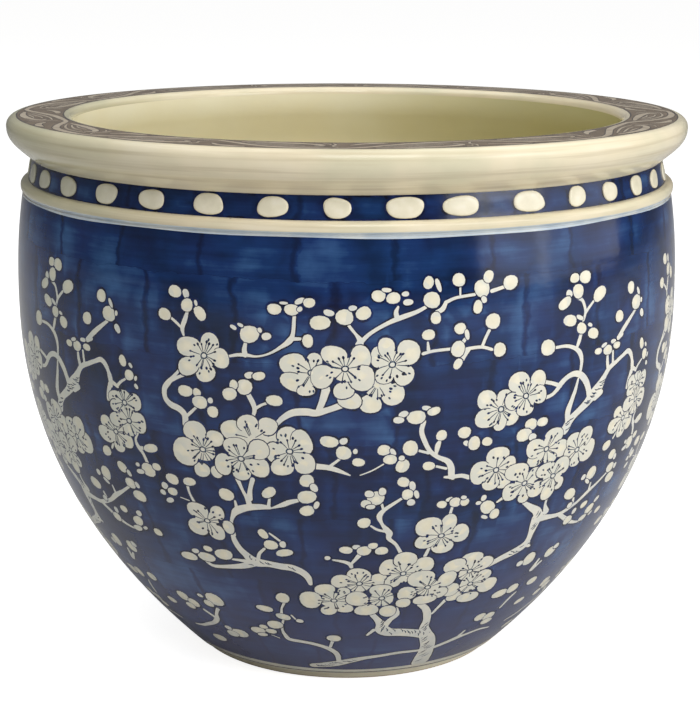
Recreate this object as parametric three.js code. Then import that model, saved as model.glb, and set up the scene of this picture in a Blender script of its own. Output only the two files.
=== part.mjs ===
// A glazed stoneware fishbowl planter: a round bowl on a low foot ring, with a
// band of raised bosses and a moulding under a broad flat rim.
//
// Such a bowl is thrown and luted together from separate clay parts. Each part
// is its own closed solid here, with a hairline joint to its neighbours. The
// axis is +Z and the foot stands on z = 0. All sizes are in millimetres.
import * as THREE from "three";

// Overall size
const bowlHeight = 327;
const rimRadius = 203;
const openingRadius = 164.5;
const bellyRadius = 199.4;
const bellyHeight = 219;
const shoulderRadius = 194.9;
const shoulderHeight = 282.3;
const footRadius = 95.4;

// How far the wall's curve runs on in its own direction, outward and upward,
// from the foot, from the belly and back down from the shoulder
const footPull = [79, 76];
const bellyPullDown = 72;
const bellyPullUp = 19.5;
const shoulderPull = [4, 24.5];

// Clay thicknesses and joints
const wallThickness = 13;
const floorTop = 19;
const beltHeight = 152;
const joint = 0.3;

// Foot ring
const footRingHeight = 6;
const footInnerRadius = 78;
const footFlare = 1;
const footChamfer = 1.5;

// Neck band, between the moulding and the rim
const bandLowRadius = 191.2;
const bandLowHeight = 289.8;
const bandTopRadius = 188.7;
const bandTopHeight = 302.2;
const neckInnerRadius = 171.5;
const beddingRadius = 190.6;

// Moulding round the foot of the neck band
const mouldingRadius = 196.2;
const mouldingEdge = 1.6;

// Rim
const rimEdgeRounding = 5.8;
const lipRounding = 4.5;
const rimEdgeLowHeight = 314.2;
const rimEdgeLowRounding = 1.6;
const lipThroat = [167.5, 309];

// Bosses on the neck band. The potter set them by eye, so the spacing wanders
// by a few degrees and the widths differ. Both lists run from the left side
// round the front to the right side, and the back repeats them.
const bossCount = 36;
const bossDrift = [-1, -0.5, -2, -2, -1, -1, -0.5, 0, 0, 0.5, -0.5, 1.5, 1.5, 0, -1, -2, -2, -1];
const bossWidth = [15, 16, 17, 17.5, 17.5, 16, 17.5, 16, 14, 20.5, 19, 20, 13, 13, 14.5, 14, 14, 15];
const frontBossTurn = -1.5;
const frontBossPlace = 8;
const bossHeight = 10.6;
const bossRelief = 1.4;

// A boss's rounded edge, as shares of its half height and of its relief
const bossFace = 0.7;
const bossEdge = 0.94;
const bossEdgeRelief = 0.6;

// Fineness of the facets
const turns = 72;
const bossSides = 14;
const wallSteps = 7;

const slips = {
  cobaltWash: { color: 0x2c4a80, roughness: 0.16 },
  bandBlue: { color: 0x27426f, roughness: 0.18 },
  creamGlaze: { color: 0xe6ddc2, roughness: 0.2 },
  scrollBrown: { color: 0xc3b094, roughness: 0.28 },
  bareClay: { color: 0xcfc4ae, roughness: 0.75 },
};

const bowl = new THREE.Group();

function addPart(name, geometry, slip) {
  const part = new THREE.Mesh(geometry, new THREE.MeshStandardMaterial(slip));
  part.name = name;
  bowl.add(part);
}

// Revolves a section of [radius, height] points about the bowl's axis.
function revolve(section) {
  const points = section.map(([radius, height]) => new THREE.Vector2(radius, height));
  return new THREE.LatheGeometry(points, turns).rotateX(Math.PI / 2);
}

// A ring's section runs up its outside, down its inside and closes on itself.
function revolveRing(section) {
  return revolve([...section, section[0]]);
}

function arc([centreRadius, centreHeight], rounding, fromDegrees, toDegrees, steps) {
  const points = [];
  for (let step = 0; step <= steps; step++) {
    const turn = THREE.MathUtils.degToRad(fromDegrees + (toDegrees - fromDegrees) * step / steps);
    points.push([
      centreRadius + rounding * Math.cos(turn),
      centreHeight + rounding * Math.sin(turn),
    ]);
  }
  return points;
}

// The outer face of the wall, from the foot over the belly to the shoulder.
const wallCurve = new THREE.CurvePath();
wallCurve.add(new THREE.CubicBezierCurve(
  new THREE.Vector2(footRadius, 0),
  new THREE.Vector2(footRadius + footPull[0], footPull[1]),
  new THREE.Vector2(bellyRadius, bellyHeight - bellyPullDown),
  new THREE.Vector2(bellyRadius, bellyHeight),
));
wallCurve.add(new THREE.CubicBezierCurve(
  new THREE.Vector2(bellyRadius, bellyHeight),
  new THREE.Vector2(bellyRadius, bellyHeight + bellyPullUp),
  new THREE.Vector2(shoulderRadius + shoulderPull[0], shoulderHeight - shoulderPull[1]),
  new THREE.Vector2(shoulderRadius, shoulderHeight),
));

// A point of the wall's section, a depth below the outer face and square to it.
function wallPoint(along, depth) {
  const face = wallCurve.getPoint(along);
  const rise = wallCurve.getTangent(along);
  return [face.x - rise.y * depth, face.y + rise.x * depth];
}

// The radius of that buried surface at a height, found by halving.
function wallRadius(height, depth) {
  let below = 0;
  let above = 1;
  while (above - below > 1e-6) {
    const middle = (below + above) / 2;
    if (wallPoint(middle, depth)[1] < height) below = middle;
    else above = middle;
  }
  return wallPoint(above, depth)[0];
}

function buildWall(lowHeight, highHeight) {
  const heights = [];
  for (let step = 0; step <= wallSteps; step++) {
    heights.push(lowHeight + (highHeight - lowHeight) * step / wallSteps);
  }
  const outside = heights.map((height) => [wallRadius(height, 0), height]);
  const inside = heights.map((height) => [wallRadius(height, wallThickness), height]);
  return revolveRing([...outside, ...inside.reverse()]);
}

function buildFootRing() {
  const top = footRingHeight;
  return revolveRing([
    [footInnerRadius + footChamfer, 0],
    [footRadius - footChamfer, 0],
    [footRadius, footChamfer],
    [footRadius + footFlare, top],
    [footInnerRadius, top],
    [footInnerRadius, footChamfer],
  ]);
}

function buildBaseFloor() {
  const underside = footRingHeight + joint;
  const wallFoot = wallPoint(0, wallThickness + joint);
  return revolve([
    [0, underside],
    [wallFoot[0], underside],
    wallFoot,
    [wallRadius(floorTop, wallThickness + joint), floorTop],
    [0, floorTop],
  ]);
}

function buildNeckBand() {
  const bottom = shoulderHeight + joint;
  return revolveRing([
    [wallRadius(shoulderHeight, wallThickness), bottom],
    [beddingRadius, bottom],
    [beddingRadius, bandLowHeight],
    [bandLowRadius, bandLowHeight],
    [bandTopRadius, bandTopHeight],
    [neckInnerRadius, bandTopHeight],
  ]);
}

function buildMoulding() {
  const bottom = shoulderHeight + joint;
  const top = bandLowHeight - joint;
  const crest = (bottom + top) / 2;
  return revolveRing([
    [beddingRadius + joint, bottom],
    [mouldingRadius - mouldingEdge, bottom],
    [mouldingRadius - mouldingEdge / 4, bottom + mouldingEdge],
    [mouldingRadius, crest],
    [mouldingRadius - mouldingEdge * 2 / 3, top - mouldingEdge],
    [mouldingRadius - mouldingEdge * 2, top],
    [beddingRadius + joint, top],
  ]);
}

function buildRim() {
  const underside = bandTopHeight + joint;
  const edgeCentre = [rimRadius - rimEdgeRounding, bowlHeight - rimEdgeRounding];
  const lipCentre = [openingRadius + lipRounding, bowlHeight - lipRounding];
  const lowCentre = [rimRadius - rimEdgeLowRounding, rimEdgeLowHeight + rimEdgeLowRounding];
  return revolveRing([
    [neckInnerRadius, underside],
    [bandTopRadius, underside],
    ...arc(lowCentre, rimEdgeLowRounding, -50, 0, 2),
    ...arc(edgeCentre, rimEdgeRounding, 0, 90, 4),
    ...arc(lipCentre, lipRounding, 90, 180, 3),
    lipThroat,
  ]);
}

// A boss is a low round-edged button, modelled flat, stretched to its width and
// then wrapped onto the sloping band.
function buildBoss(width, turnDegrees) {
  const half = bossHeight / 2;
  const button = new THREE.LatheGeometry([
    new THREE.Vector2(0, 0),
    new THREE.Vector2(half, 0),
    new THREE.Vector2(half * bossEdge, bossRelief * bossEdgeRelief),
    new THREE.Vector2(half * bossFace, bossRelief),
    new THREE.Vector2(0, bossRelief),
  ], bossSides);
  const bandMiddle = (bandLowHeight + bandTopHeight) / 2;
  const bandLean = (bandTopRadius - bandLowRadius) / (bandTopHeight - bandLowHeight);
  const corners = button.attributes.position;
  for (let corner = 0; corner < corners.count; corner++) {
    const across = corners.getX(corner) * width / bossHeight;
    const up = -corners.getZ(corner);
    const proud = corners.getY(corner);
    const height = bandMiddle + up;
    const radius = bandLowRadius + bandLean * (height - bandLowHeight) + joint + proud;
    const turn = THREE.MathUtils.degToRad(turnDegrees) + across / bandLowRadius;
    corners.setXYZ(corner, radius * Math.sin(turn), -radius * Math.cos(turn), height);
  }
  return button;
}

addPart("foot_ring", buildFootRing(), slips.bareClay);
addPart("base_floor", buildBaseFloor(), slips.creamGlaze);
addPart("lower_wall", buildWall(footRingHeight + joint, beltHeight - joint / 2), slips.cobaltWash);
addPart("upper_wall", buildWall(beltHeight + joint / 2, shoulderHeight), slips.cobaltWash);
addPart("neck_band", buildNeckBand(), slips.bandBlue);
addPart("neck_moulding", buildMoulding(), slips.creamGlaze);
addPart("rim_flange", buildRim(), slips.scrollBrown);

for (let place = 0; place < bossCount; place++) {
  const listed = place % bossDrift.length;
  const turn = frontBossTurn + (place - frontBossPlace) * 360 / bossCount + bossDrift[listed];
  const number = String(place + 1).padStart(2, "0");
  addPart(`boss_${number}`, buildBoss(bossWidth[listed], turn), slips.creamGlaze);
}

export default bowl;
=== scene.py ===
import math
import random

import bpy
import numpy as np
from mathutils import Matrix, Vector
from mathutils.geometry import delaunay_2d_cdt


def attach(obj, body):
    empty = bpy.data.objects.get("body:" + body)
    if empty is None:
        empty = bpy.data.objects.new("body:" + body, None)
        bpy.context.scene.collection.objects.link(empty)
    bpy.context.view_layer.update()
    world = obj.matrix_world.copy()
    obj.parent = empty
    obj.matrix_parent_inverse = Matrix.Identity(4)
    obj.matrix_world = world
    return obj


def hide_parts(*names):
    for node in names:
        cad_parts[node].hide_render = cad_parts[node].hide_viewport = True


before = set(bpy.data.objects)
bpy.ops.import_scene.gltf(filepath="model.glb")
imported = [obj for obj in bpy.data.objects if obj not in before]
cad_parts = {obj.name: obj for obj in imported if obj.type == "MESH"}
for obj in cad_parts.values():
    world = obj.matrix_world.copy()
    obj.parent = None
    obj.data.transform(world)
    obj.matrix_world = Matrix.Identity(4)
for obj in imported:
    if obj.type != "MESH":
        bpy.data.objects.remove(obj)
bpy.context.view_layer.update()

# A glazed stoneware fishbowl planter, painted in cobalt with plum blossom left white on a blue
# ground. Lengths in the notes and dictionaries are millimetres, turns are degrees round the bowl's
# axis: 0 faces the front and the turn grows to the viewer's right.
mm = 0.001
bpy.ops.object.select_all(action="DESELECT")


def hexColor(code):
    parts = [int(code[i:i + 2], 16) / 255 for i in (0, 2, 4)]
    linear = [c / 12.92 if c <= 0.04045 else ((c + 0.055) / 1.055) ** 2.4 for c in parts]
    return (*linear, 1)


def addNode(material, kind, settings=(), inputs=()):
    # settings are the node's own options and numbers, inputs are numbers or other nodes' outputs
    node = material.node_tree.nodes.new("ShaderNode" + kind)
    for name, value in dict(settings).items():
        if name == "stops":
            ramp = node.color_ramp
            while len(ramp.elements) < len(value):
                ramp.elements.new(0.5)
            for element, (position, code) in zip(ramp.elements, value):
                element.position = position
                element.color = hexColor(code)
        elif isinstance(name, str) and hasattr(node, name):
            setattr(node, name, value)
        else:
            node.inputs[name].default_value = value
    for socket, source in dict(inputs).items():
        if isinstance(source, bpy.types.NodeSocket):
            material.node_tree.links.new(source, node.inputs[socket])
        else:
            node.inputs[socket].default_value = source
    return node


def place(turn, radius, height):
    angle = math.radians(turn)
    return (radius * math.sin(angle) * mm, -radius * math.cos(angle) * mm, height * mm)


def finishPiece(piece, slot, *nodes):
    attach(piece, "root")
    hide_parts(*nodes)


def startGlaze(name, roughness=0.13):
    # every glazed face shares the same clear top coat: glassy, with soft throwing rings 11 mm apart and
    # a faint orange peel that make the reflections waver
    material = bpy.data.materials.new(name)
    material.use_nodes = True
    shader = material.node_tree.nodes["Principled BSDF"]
    shader.inputs["Roughness"].default_value = roughness
    shader.inputs["IOR"].default_value = 1.5
    shader.inputs["Specular IOR Level"].default_value = 0.42
    spot = addNode(material, "TexCoord").outputs["Object"]
    squashed = addNode(material, "Mapping", {"Scale": (8, 8, 90)}, {"Vector": spot})
    rings = addNode(material, "TexNoise", {"Scale": 1, "Detail": 1}, {"Vector": squashed.outputs[0]})
    peel = addNode(material, "TexNoise", {"Scale": 1 / (7 * mm), "Detail": 2}, {"Vector": spot})
    ripple = addNode(material, "Math", {"operation": "MULTIPLY_ADD", 1: 0.35},
                     {0: peel.outputs["Fac"], 2: rings.outputs["Fac"]})
    bump = addNode(material, "Bump", {"Strength": 0.35, "Distance": 0.5 * mm}, {"Height": ripple.outputs[0]})
    material.node_tree.links.new(bump.outputs[0], shader.inputs["Normal"])
    return material, shader, spot


def softPatches(material, spot, size, stops, detail=3):
    noise = addNode(material, "TexNoise", {"Scale": 1 / (size * mm), "Detail": detail}, {"Vector": spot})
    return addNode(material, "ValToRGB", {"stops": stops}, {"Fac": noise.outputs["Fac"]}).outputs[0]


def mixColors(material, factor, first, second):
    # input 6 and 7 are the node's two colours, output 2 its result
    return addNode(material, "Mix", {"data_type": "RGBA"}, {0: factor, 6: first, 7: second}).outputs[2]


def tintAlong(material, spot, axis, near, far, most, color, tint):
    # the tint comes in evenly between two places along an axis, given in millimetres
    along = addNode(material, "SeparateXYZ", {}, {0: spot}).outputs[axis]
    share = addNode(material, "MapRange", {1: near * mm, 2: far * mm, 3: 0, 4: most}, {0: along})
    return mixColors(material, share.outputs[0], color, hexColor(tint))


def colorShader(material, shader, color):
    material.node_tree.links.new(color, shader.inputs["Base Color"])
    return material


def makePatchyGlaze(name, size, stops):
    material, shader, spot = startGlaze(name)
    return colorShader(material, shader, softPatches(material, spot, size, stops))


washSettings = {
    "blocksRound": 24, "blockHeight": 44, "gridStep": 2.75, "rowShift": 0.37, "seam": 0.055,
    "bend": (0.26, 3, 0), "bendOver": 16,   # how far the blocks' edges wander, and over what length
    "streakLong": 70, "streakHigh": 4, "cloud": 40, "dab": 24, "dabDrift": 18,
    # how much each of these lightens the blue, or darkens it
    "start": 0.2, "blockTone": 0.13, "streaks": 0.34, "clouds": 0.62, "seams": -0.21, "besideDrawing": -0.14,
    "dabs": -0.34,
    "blues": [(0.2, "020c2a"), (0.42, "071f49"), (0.58, "113165"), (0.85, "3f6899")],
    "hues": [(0.35, "17405f"), (0.65, "2a2a5c")], "hueShare": 0.14, "hueSize": 30,
    # a painted reflection of the pale floor: violet grey, strongest at the foot
    "floorReflectionTint": "5a5c82", "floorReflectionFrom": 135, "floorReflectionTo": 5, "floorReflectionMost": 0.55,
}


def makeCobaltWash(name):
    # cobalt brushed on in overlapping blocks about 15 degrees wide and 44 mm high: each block has its
    # own tone, the brush leaves faint level streaks and cloudy dabs, and the colour pools dark where
    # blocks meet and beside the drawing; toward the foot a painted reflection of the pale floor lightens
    # the blue to violet grey
    w = washSettings
    material, shader, spot = startGlaze(name)
    split = addNode(material, "SeparateXYZ", {}, {0: spot})
    back = addNode(material, "Math", {"operation": "MULTIPLY", 1: -1}, {0: split.outputs["Y"]})
    turn = addNode(material, "Math", {"operation": "ARCTAN2"}, {0: split.outputs["X"], 1: back.outputs[0]})
    across = addNode(material, "Math", {"operation": "MULTIPLY", 1: w["blocksRound"] / math.tau},
                     {0: turn.outputs[0]})
    up = addNode(material, "Math", {"operation": "DIVIDE", 1: w["gridStep"] * mm}, {0: split.outputs["Z"]})
    grid = addNode(material, "CombineXYZ", {}, {0: across.outputs[0], 1: up.outputs[0]})
    waver = addNode(material, "TexNoise", {"Scale": 1 / (w["bendOver"] * mm), "Detail": 4, "Roughness": 0.6},
                    {"Vector": spot})
    bent = addNode(material, "VectorMath", {"operation": "MULTIPLY_ADD", 1: w["bend"]},
                   {0: waver.outputs["Color"], 2: grid.outputs[0]})
    blocks = addNode(material, "TexBrick",
                     {"offset": w["rowShift"], "Scale": 1, "Brick Width": 1,
                      "Row Height": w["blockHeight"] / w["gridStep"], "Mortar Size": w["seam"],
                      "Mortar Smooth": 1, "Color1": (0, 0, 0, 1), "Color2": (1, 1, 1, 1),
                      "Mortar": (0.5, 0.5, 0.5, 1)}, {"Vector": bent.outputs[0]})
    long, high = w["streakLong"] * mm, w["streakHigh"] * mm
    level = addNode(material, "Mapping", {"Scale": (1 / long, 1 / long, 1 / high)}, {"Vector": spot})
    streaks = addNode(material, "TexNoise", {"Scale": 1, "Detail": 4, "Roughness": 0.65},
                      {"Vector": level.outputs[0]})
    clouds = addNode(material, "TexNoise", {"Scale": 1 / (w["cloud"] * mm), "Detail": 3}, {"Vector": spot})
    drift = addNode(material, "VectorMath", {"operation": "MULTIPLY_ADD", 1: (w["dabDrift"] * mm,) * 3},
                    {0: waver.outputs["Color"], 2: spot})
    dabs = addNode(material, "TexVoronoi",
                   {"feature": "SMOOTH_F1", "Scale": 1 / (w["dab"] * mm), "Smoothness": 0.1},
                   {"Vector": drift.outputs[0]})
    drawn = addNode(material, "Attribute", {"attribute_name": "nearDrawing"})
    total = w["start"]
    for source, share in ((blocks.outputs["Color"], "blockTone"), (streaks.outputs["Fac"], "streaks"),
                          (clouds.outputs["Fac"], "clouds"), (blocks.outputs["Fac"], "seams"),
                          (drawn.outputs["Fac"], "besideDrawing"), (dabs.outputs["Distance"], "dabs")):
        total = addNode(material, "Math", {"operation": "MULTIPLY_ADD", 1: w[share]},
                        {0: source, 2: total}).outputs[0]
    wash = addNode(material, "ValToRGB", {"stops": w["blues"]}, {"Fac": total}).outputs[0]
    hue = softPatches(material, spot, w["hueSize"], w["hues"])
    tinted = mixColors(material, w["hueShare"], wash, hue)
    # painted reflection of the pale floor, rising from the foot
    withFloorReflection = tintAlong(material, spot, "Z", w["floorReflectionFrom"], w["floorReflectionTo"], w["floorReflectionMost"], tinted, w["floorReflectionTint"])
    return colorShader(material, shader, withFloorReflection)


def paintedShadeOnLeft(material, spot, color, paintedLeftShade, most):
    # painted shade on the left side: the colour turns grey green toward the left
    return tintAlong(material, spot, "X", -80, -200, most, color, paintedLeftShade)


def makePetalWhite(name):
    # the body left in reserve: warm ivory, cooler at the petal's edge where blue has bled in
    material, shader, spot = startGlaze(name)
    ivory = softPatches(material, spot, 7, [(0.3, "e6dfc6"), (0.55, "f0e9d1"), (0.75, "f6f0de")])
    drawn = addNode(material, "Attribute", {"attribute_name": "nearDrawing"})
    edge = addNode(material, "Math", {"operation": "POWER", 1: 3}, {0: drawn.outputs["Fac"]})
    cool = softPatches(material, spot, 9, [(0.3, "dcdccf"), (0.7, "e8e3d3")])
    bled = mixColors(material, edge.outputs[0], ivory, cool)
    # painted shade, grey green, over the left side of the petals
    return colorShader(material, shader, paintedShadeOnLeft(material, spot, bled, "9fb0a4", 0.45))


def makeTwigWhite(name):
    # twigs and sepals are thin, so the blue round them tints the glaze
    material, shader, spot = startGlaze(name)
    slip = softPatches(material, spot, 6, [(0.3, "dadbd5"), (0.6, "e7e4d7"), (0.8, "eee8d7")])
    # painted shade, grey green, over the left side of the twigs
    return colorShader(material, shader, paintedShadeOnLeft(material, spot, slip, "9fb0a4", 0.45))


def makeCreamGlaze(name):
    # clear glaze over a pale body: faint level streaks from the wheel, a few brown pinholes 26 mm
    # apart, and painted shade in grey green over the left side
    material, shader, spot = startGlaze(name)
    tint = softPatches(material, spot, 45, [(0.3, "dfd8ba"), (0.55, "eee2c4"), (0.8, "f3e8cf")])
    specks = addNode(material, "TexVoronoi", {"Scale": 1 / (26 * mm)}, {"Vector": spot})
    pinhole = addNode(material, "MapRange", {1: 0.012, 2: 0.022, 3: 0.75, 4: 0},
                      {0: specks.outputs["Distance"]})
    squashed = addNode(material, "Mapping", {"Scale": (9, 9, 420)}, {"Vector": spot})
    streaks = addNode(material, "TexNoise", {"Scale": 1, "Detail": 3}, {"Vector": squashed.outputs[0]})
    share = addNode(material, "MapRange", {1: 0.46, 2: 0.7, 3: 0, 4: 0.6}, {0: streaks.outputs["Fac"]})
    banded = mixColors(material, share.outputs[0], tint, hexColor("c9b997"))
    # painted shade, grey green, over the left side of the cream glaze
    paintedLeftShade = paintedShadeOnLeft(material, spot, banded, "a0a584", 0.6)
    return colorShader(material, shader, mixColors(material, pinhole.outputs[0], paintedLeftShade, hexColor("6b5436")))


def makeInnerGlaze(name):
    # the same glaze, thicker inside: straw yellow, with painted shade in olive over the right side of the
    # inside
    material, shader, spot = startGlaze(name, 0.2)
    straw = softPatches(material, spot, 60, [(0.3, "f0e7c6"), (0.55, "f4edd0"), (0.8, "f7f1da")])
    return colorShader(material, shader, tintAlong(material, spot, "X", -20, 160, 0.85, straw, "b9b57c"))


def makeBareClay(name):
    # unglazed where the bowl stood in the kiln: matt, sandy and a little toasted
    material = bpy.data.materials.new(name)
    material.use_nodes = True
    shader = material.node_tree.nodes["Principled BSDF"]
    shader.inputs["Roughness"].default_value = 0.82
    spot = addNode(material, "TexCoord").outputs["Object"]
    toast = softPatches(material, spot, 30, [(0.3, "b59c7c"), (0.6, "cdbb9d"), (0.8, "d8cab0")], 6)
    sand = addNode(material, "TexNoise", {"Scale": 1 / (0.8 * mm), "Detail": 2}, {"Vector": spot})
    bump = addNode(material, "Bump", {"Strength": 0.6, "Distance": 0.3 * mm}, {"Height": sand.outputs["Fac"]})
    material.node_tree.links.new(bump.outputs[0], shader.inputs["Normal"])
    return colorShader(material, shader, toast)


finishes = {
    "wash": makeCobaltWash("cobalt wash under clear glaze"),
    # the outline is laid on thick, so it fires almost black, bluer where it thins
    "line": makePatchyGlaze("thick cobalt line under clear glaze", 5, [(0.35, "070d26"), (0.7, "16295c")]),
    "petal": makePetalWhite("ivory porcelain slip under clear glaze"),
    "twig": makeTwigWhite("bluish white slip under clear glaze"),
    # fine brush strokes, broken and grey-blue
    "ink": makePatchyGlaze("thin cobalt ink under clear glaze", 2.5,
                           [(0.35, "142240"), (0.65, "33485e"), (0.85, "6d7f8a")]),
    "cream": makeCreamGlaze("ivory glaze on stoneware"),
    "inside": makeInnerGlaze("straw glaze inside the bowl"),
    # a thin wash of iron oxide, grey-brown and streaky
    "rimGround": makePatchyGlaze("iron wash under clear glaze", 9,
                                 [(0.3, "66543f"), (0.5, "7f6a51"), (0.75, "98846c")]),
    # slip trailed over the iron wash, which stains it unevenly
    "rimScroll": makePatchyGlaze("pale slip scroll on the rim", 6,
                                 [(0.3, "b8a78f"), (0.55, "d3c3aa"), (0.8, "dfd2bd")]),
    "ironLine": makePatchyGlaze("iron brown line under clear glaze", 4, [(0.35, "3b2f27"), (0.7, "5d4f42")]),
    # glaze runs off the moulding and pools pale blue in the corner below it
    "skyLine": makePatchyGlaze("pale blue pool in clear glaze", 12, [(0.3, "b4c3d0"), (0.7, "d3dadb")]),
    "clay": makeBareClay("bare fired stoneware"),
}
finishNames = list(finishes)
print("stage: finishes mixed")


# A painted ring is a section turned about the axis. Its skin is laid out flat as a chart, turn across
# and distance along the section downwards, and every brush shape is cut into that chart, so that the
# drawing is real mesh edges. Later shapes cover earlier ones.
chartWidth = 3.4  # chart millimetres for one degree of turn, about the real size at the belly


def bezier(points, steps):
    t = np.linspace(0, 1, steps + 1)[:, None]
    a, b, c, d = np.array(points, float)
    return a * (1 - t) ** 3 + 3 * b * t * (1 - t) ** 2 + 3 * c * t ** 2 * (1 - t) + d * t ** 3


def arc(centre, radius, start, stop, steps):
    turns = np.radians(np.linspace(start, stop, steps + 1))
    return np.stack([centre[0] + radius * np.cos(turns), centre[1] + radius * np.sin(turns)], 1)


def measureSection(parts, brushed, top):
    # each part is (outline of [radius, height], finish, rows apart or None); the painted part begins at top
    sections = []
    down = top - sum(np.linalg.norm(np.diff(part[0], axis=0), axis=1).sum() for part in parts[:brushed])
    for outline, finish, rows in parts:
        outline = np.array(outline, float)
        steps = np.linalg.norm(np.diff(outline, axis=0), axis=1)
        marks = down + np.concatenate([[0], np.cumsum(steps)])
        run = np.gradient(outline, marks, axis=0)
        run /= np.linalg.norm(run, axis=1)[:, None]
        if rows is None:
            rowMarks = marks
        else:
            rowMarks = np.linspace(marks[0], marks[-1], max(2, round((marks[-1] - marks[0]) / rows) + 1))
        sections.append({"from": marks[0], "to": marks[-1], "marks": marks, "outline": outline,
                         "normal": np.stack([-run[:, 1], run[:, 0]], 1), "finish": finish,
                         "rows": rowMarks})
        down = marks[-1]
    return sections


def clipShape(points, low, high):
    for limit, keep in ((low, 1), (high, -1)):
        kept = []
        for i, here in enumerate(points):
            last = points[i - 1]
            insideHere = (here[1] - limit) * keep >= 0
            insideLast = (last[1] - limit) * keep >= 0
            if insideHere != insideLast:
                share = (limit - last[1]) / (here[1] - last[1])
                kept.append((last[0] + (here[0] - last[0]) * share, limit))
            if insideHere:
                kept.append(here)
        points = kept
        if len(points) < 3:
            return []
    return points


def layOutChart(sections, painted, shapes, dots, turnStep):
    # what the triangulation needs: corners, edges, the shapes' outlines, whose outline each is, and the
    # first and last number of the loose dots
    corners, edges, outlines, owners = [], [], [], []

    def addLine(line):
        first = len(corners)
        corners.extend(line)
        edges.extend((first + i, first + i + 1) for i in range(len(line) - 1))

    rowDowns = sorted({round(float(down), 6) for section in sections for down in section["rows"]})
    borders = {round(float(section[k]), 6) for section in sections for k in ("from", "to")}
    for down in rowDowns:
        line = [(turn * chartWidth, -down) for turn in np.arange(-180, 180.01, turnStep)]
        if down in borders:
            addLine(line)
        else:
            corners.extend(line)
    for turn in (-180, -60, 60, 180):
        addLine([(turn * chartWidth, -down) for down in rowDowns])
    firstDot = len(corners)
    corners.extend((turn * chartWidth, -down) for turn, down in dots
                   if painted["from"] < down < painted["to"] and abs(turn) < 180)
    lastDot = len(corners)
    for owner, (finish, outline) in enumerate(shapes):
        outline = clipShape(outline, painted["from"], painted["to"])
        for shift in (-360, 0, 360):
            turns = [turn + shift for turn, down in outline]
            if not turns or min(turns) >= 180 or max(turns) <= -180:
                continue
            chart = [(turn * chartWidth, -down) for turn, (_, down) in zip(turns, outline)]
            area = sum(chart[i - 1][0] * p[1] - p[0] * chart[i - 1][1] for i, p in enumerate(chart))
            if area < 0:
                chart.reverse()
            first = len(corners)
            corners.extend(chart)
            outlines.append(list(range(first, first + len(chart))))
            owners.append(owner)
    return corners, edges, outlines, owners, firstDot, lastDot


def nearestOf(choices, wanted, along):
    # for each wanted corner the choice that lies nearest to it along a seam
    ordered = choices[np.argsort(along[choices])]
    after = np.clip(np.searchsorted(along[ordered], along[wanted]), 0, len(ordered) - 1)
    before = ordered[np.maximum(after - 1, 0)]
    after = ordered[after]
    closer = np.abs(along[before] - along[wanted]) < np.abs(along[after] - along[wanted])
    return np.where(closer, before, after)


def joinSeams(turn, down, start, end):
    # both sides of the chart's two seams share their corners; the triangulation rounds to about 1e-4
    sides = [np.flatnonzero(np.abs(turn - edge) < 1e-3) for edge in (-180, 180)]
    ends = [np.flatnonzero(np.abs(down - edge) < 1e-3) for edge in (start, end)]
    toStart = np.arange(len(turn))
    toStart[ends[1]] = nearestOf(ends[0], ends[1], turn)
    toLeft = np.arange(len(turn))
    toLeft[sides[1]] = nearestOf(sides[0], sides[1], down)
    return toLeft[toStart]


def shadeAndUnwrap(mesh, sections, brushed, faces, sectionOf, turn, down, centres):
    # smooth shading straight from the section, so the cut drawing can't ripple the glaze; the painted
    # part takes three long strips of the unwrapping, 120 degrees each, the others share the rest
    angle = np.radians(turn)
    normals = np.zeros((len(faces), 3, 3))
    flat = np.zeros((len(faces), 3, 2))
    for number, section in enumerate(sections):
        mine = sectionOf == number
        ids = faces[mine]
        at = np.clip(down[ids], section["from"], section["to"])
        out = np.interp(at, section["marks"], section["normal"][:, 0])
        up = np.interp(at, section["marks"], section["normal"][:, 1])
        normals[mine] = np.stack([out * np.sin(angle[ids]), -out * np.cos(angle[ids]), up], -1)
        along = (at - section["from"]) / (section["to"] - section["from"])
        if number == brushed:
            third = (centres[mine][:, 0] / chartWidth + 180) // 120
            third = np.clip(third.astype(int), 0, 2)[:, None]
            flat[mine] = np.stack([(turn[ids] + 180) / 120 - third, (third + 0.02 + along * 0.96) * 0.3], -1)
        else:
            strip = 0.9 + 0.1 / len(sections) * (number + 0.1 + along * 0.8)
            flat[mine] = np.stack([(turn[ids] + 180) / 360, strip], -1)
    mesh.polygons.foreach_set("use_smooth", [True] * len(mesh.polygons))
    mesh.normals_split_custom_set(normals.reshape(-1, 3).tolist())
    layer = mesh.uv_layers.new(name="OFBake")
    layer.uv.foreach_set("vector", flat.reshape(-1).astype(np.float32))


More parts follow.
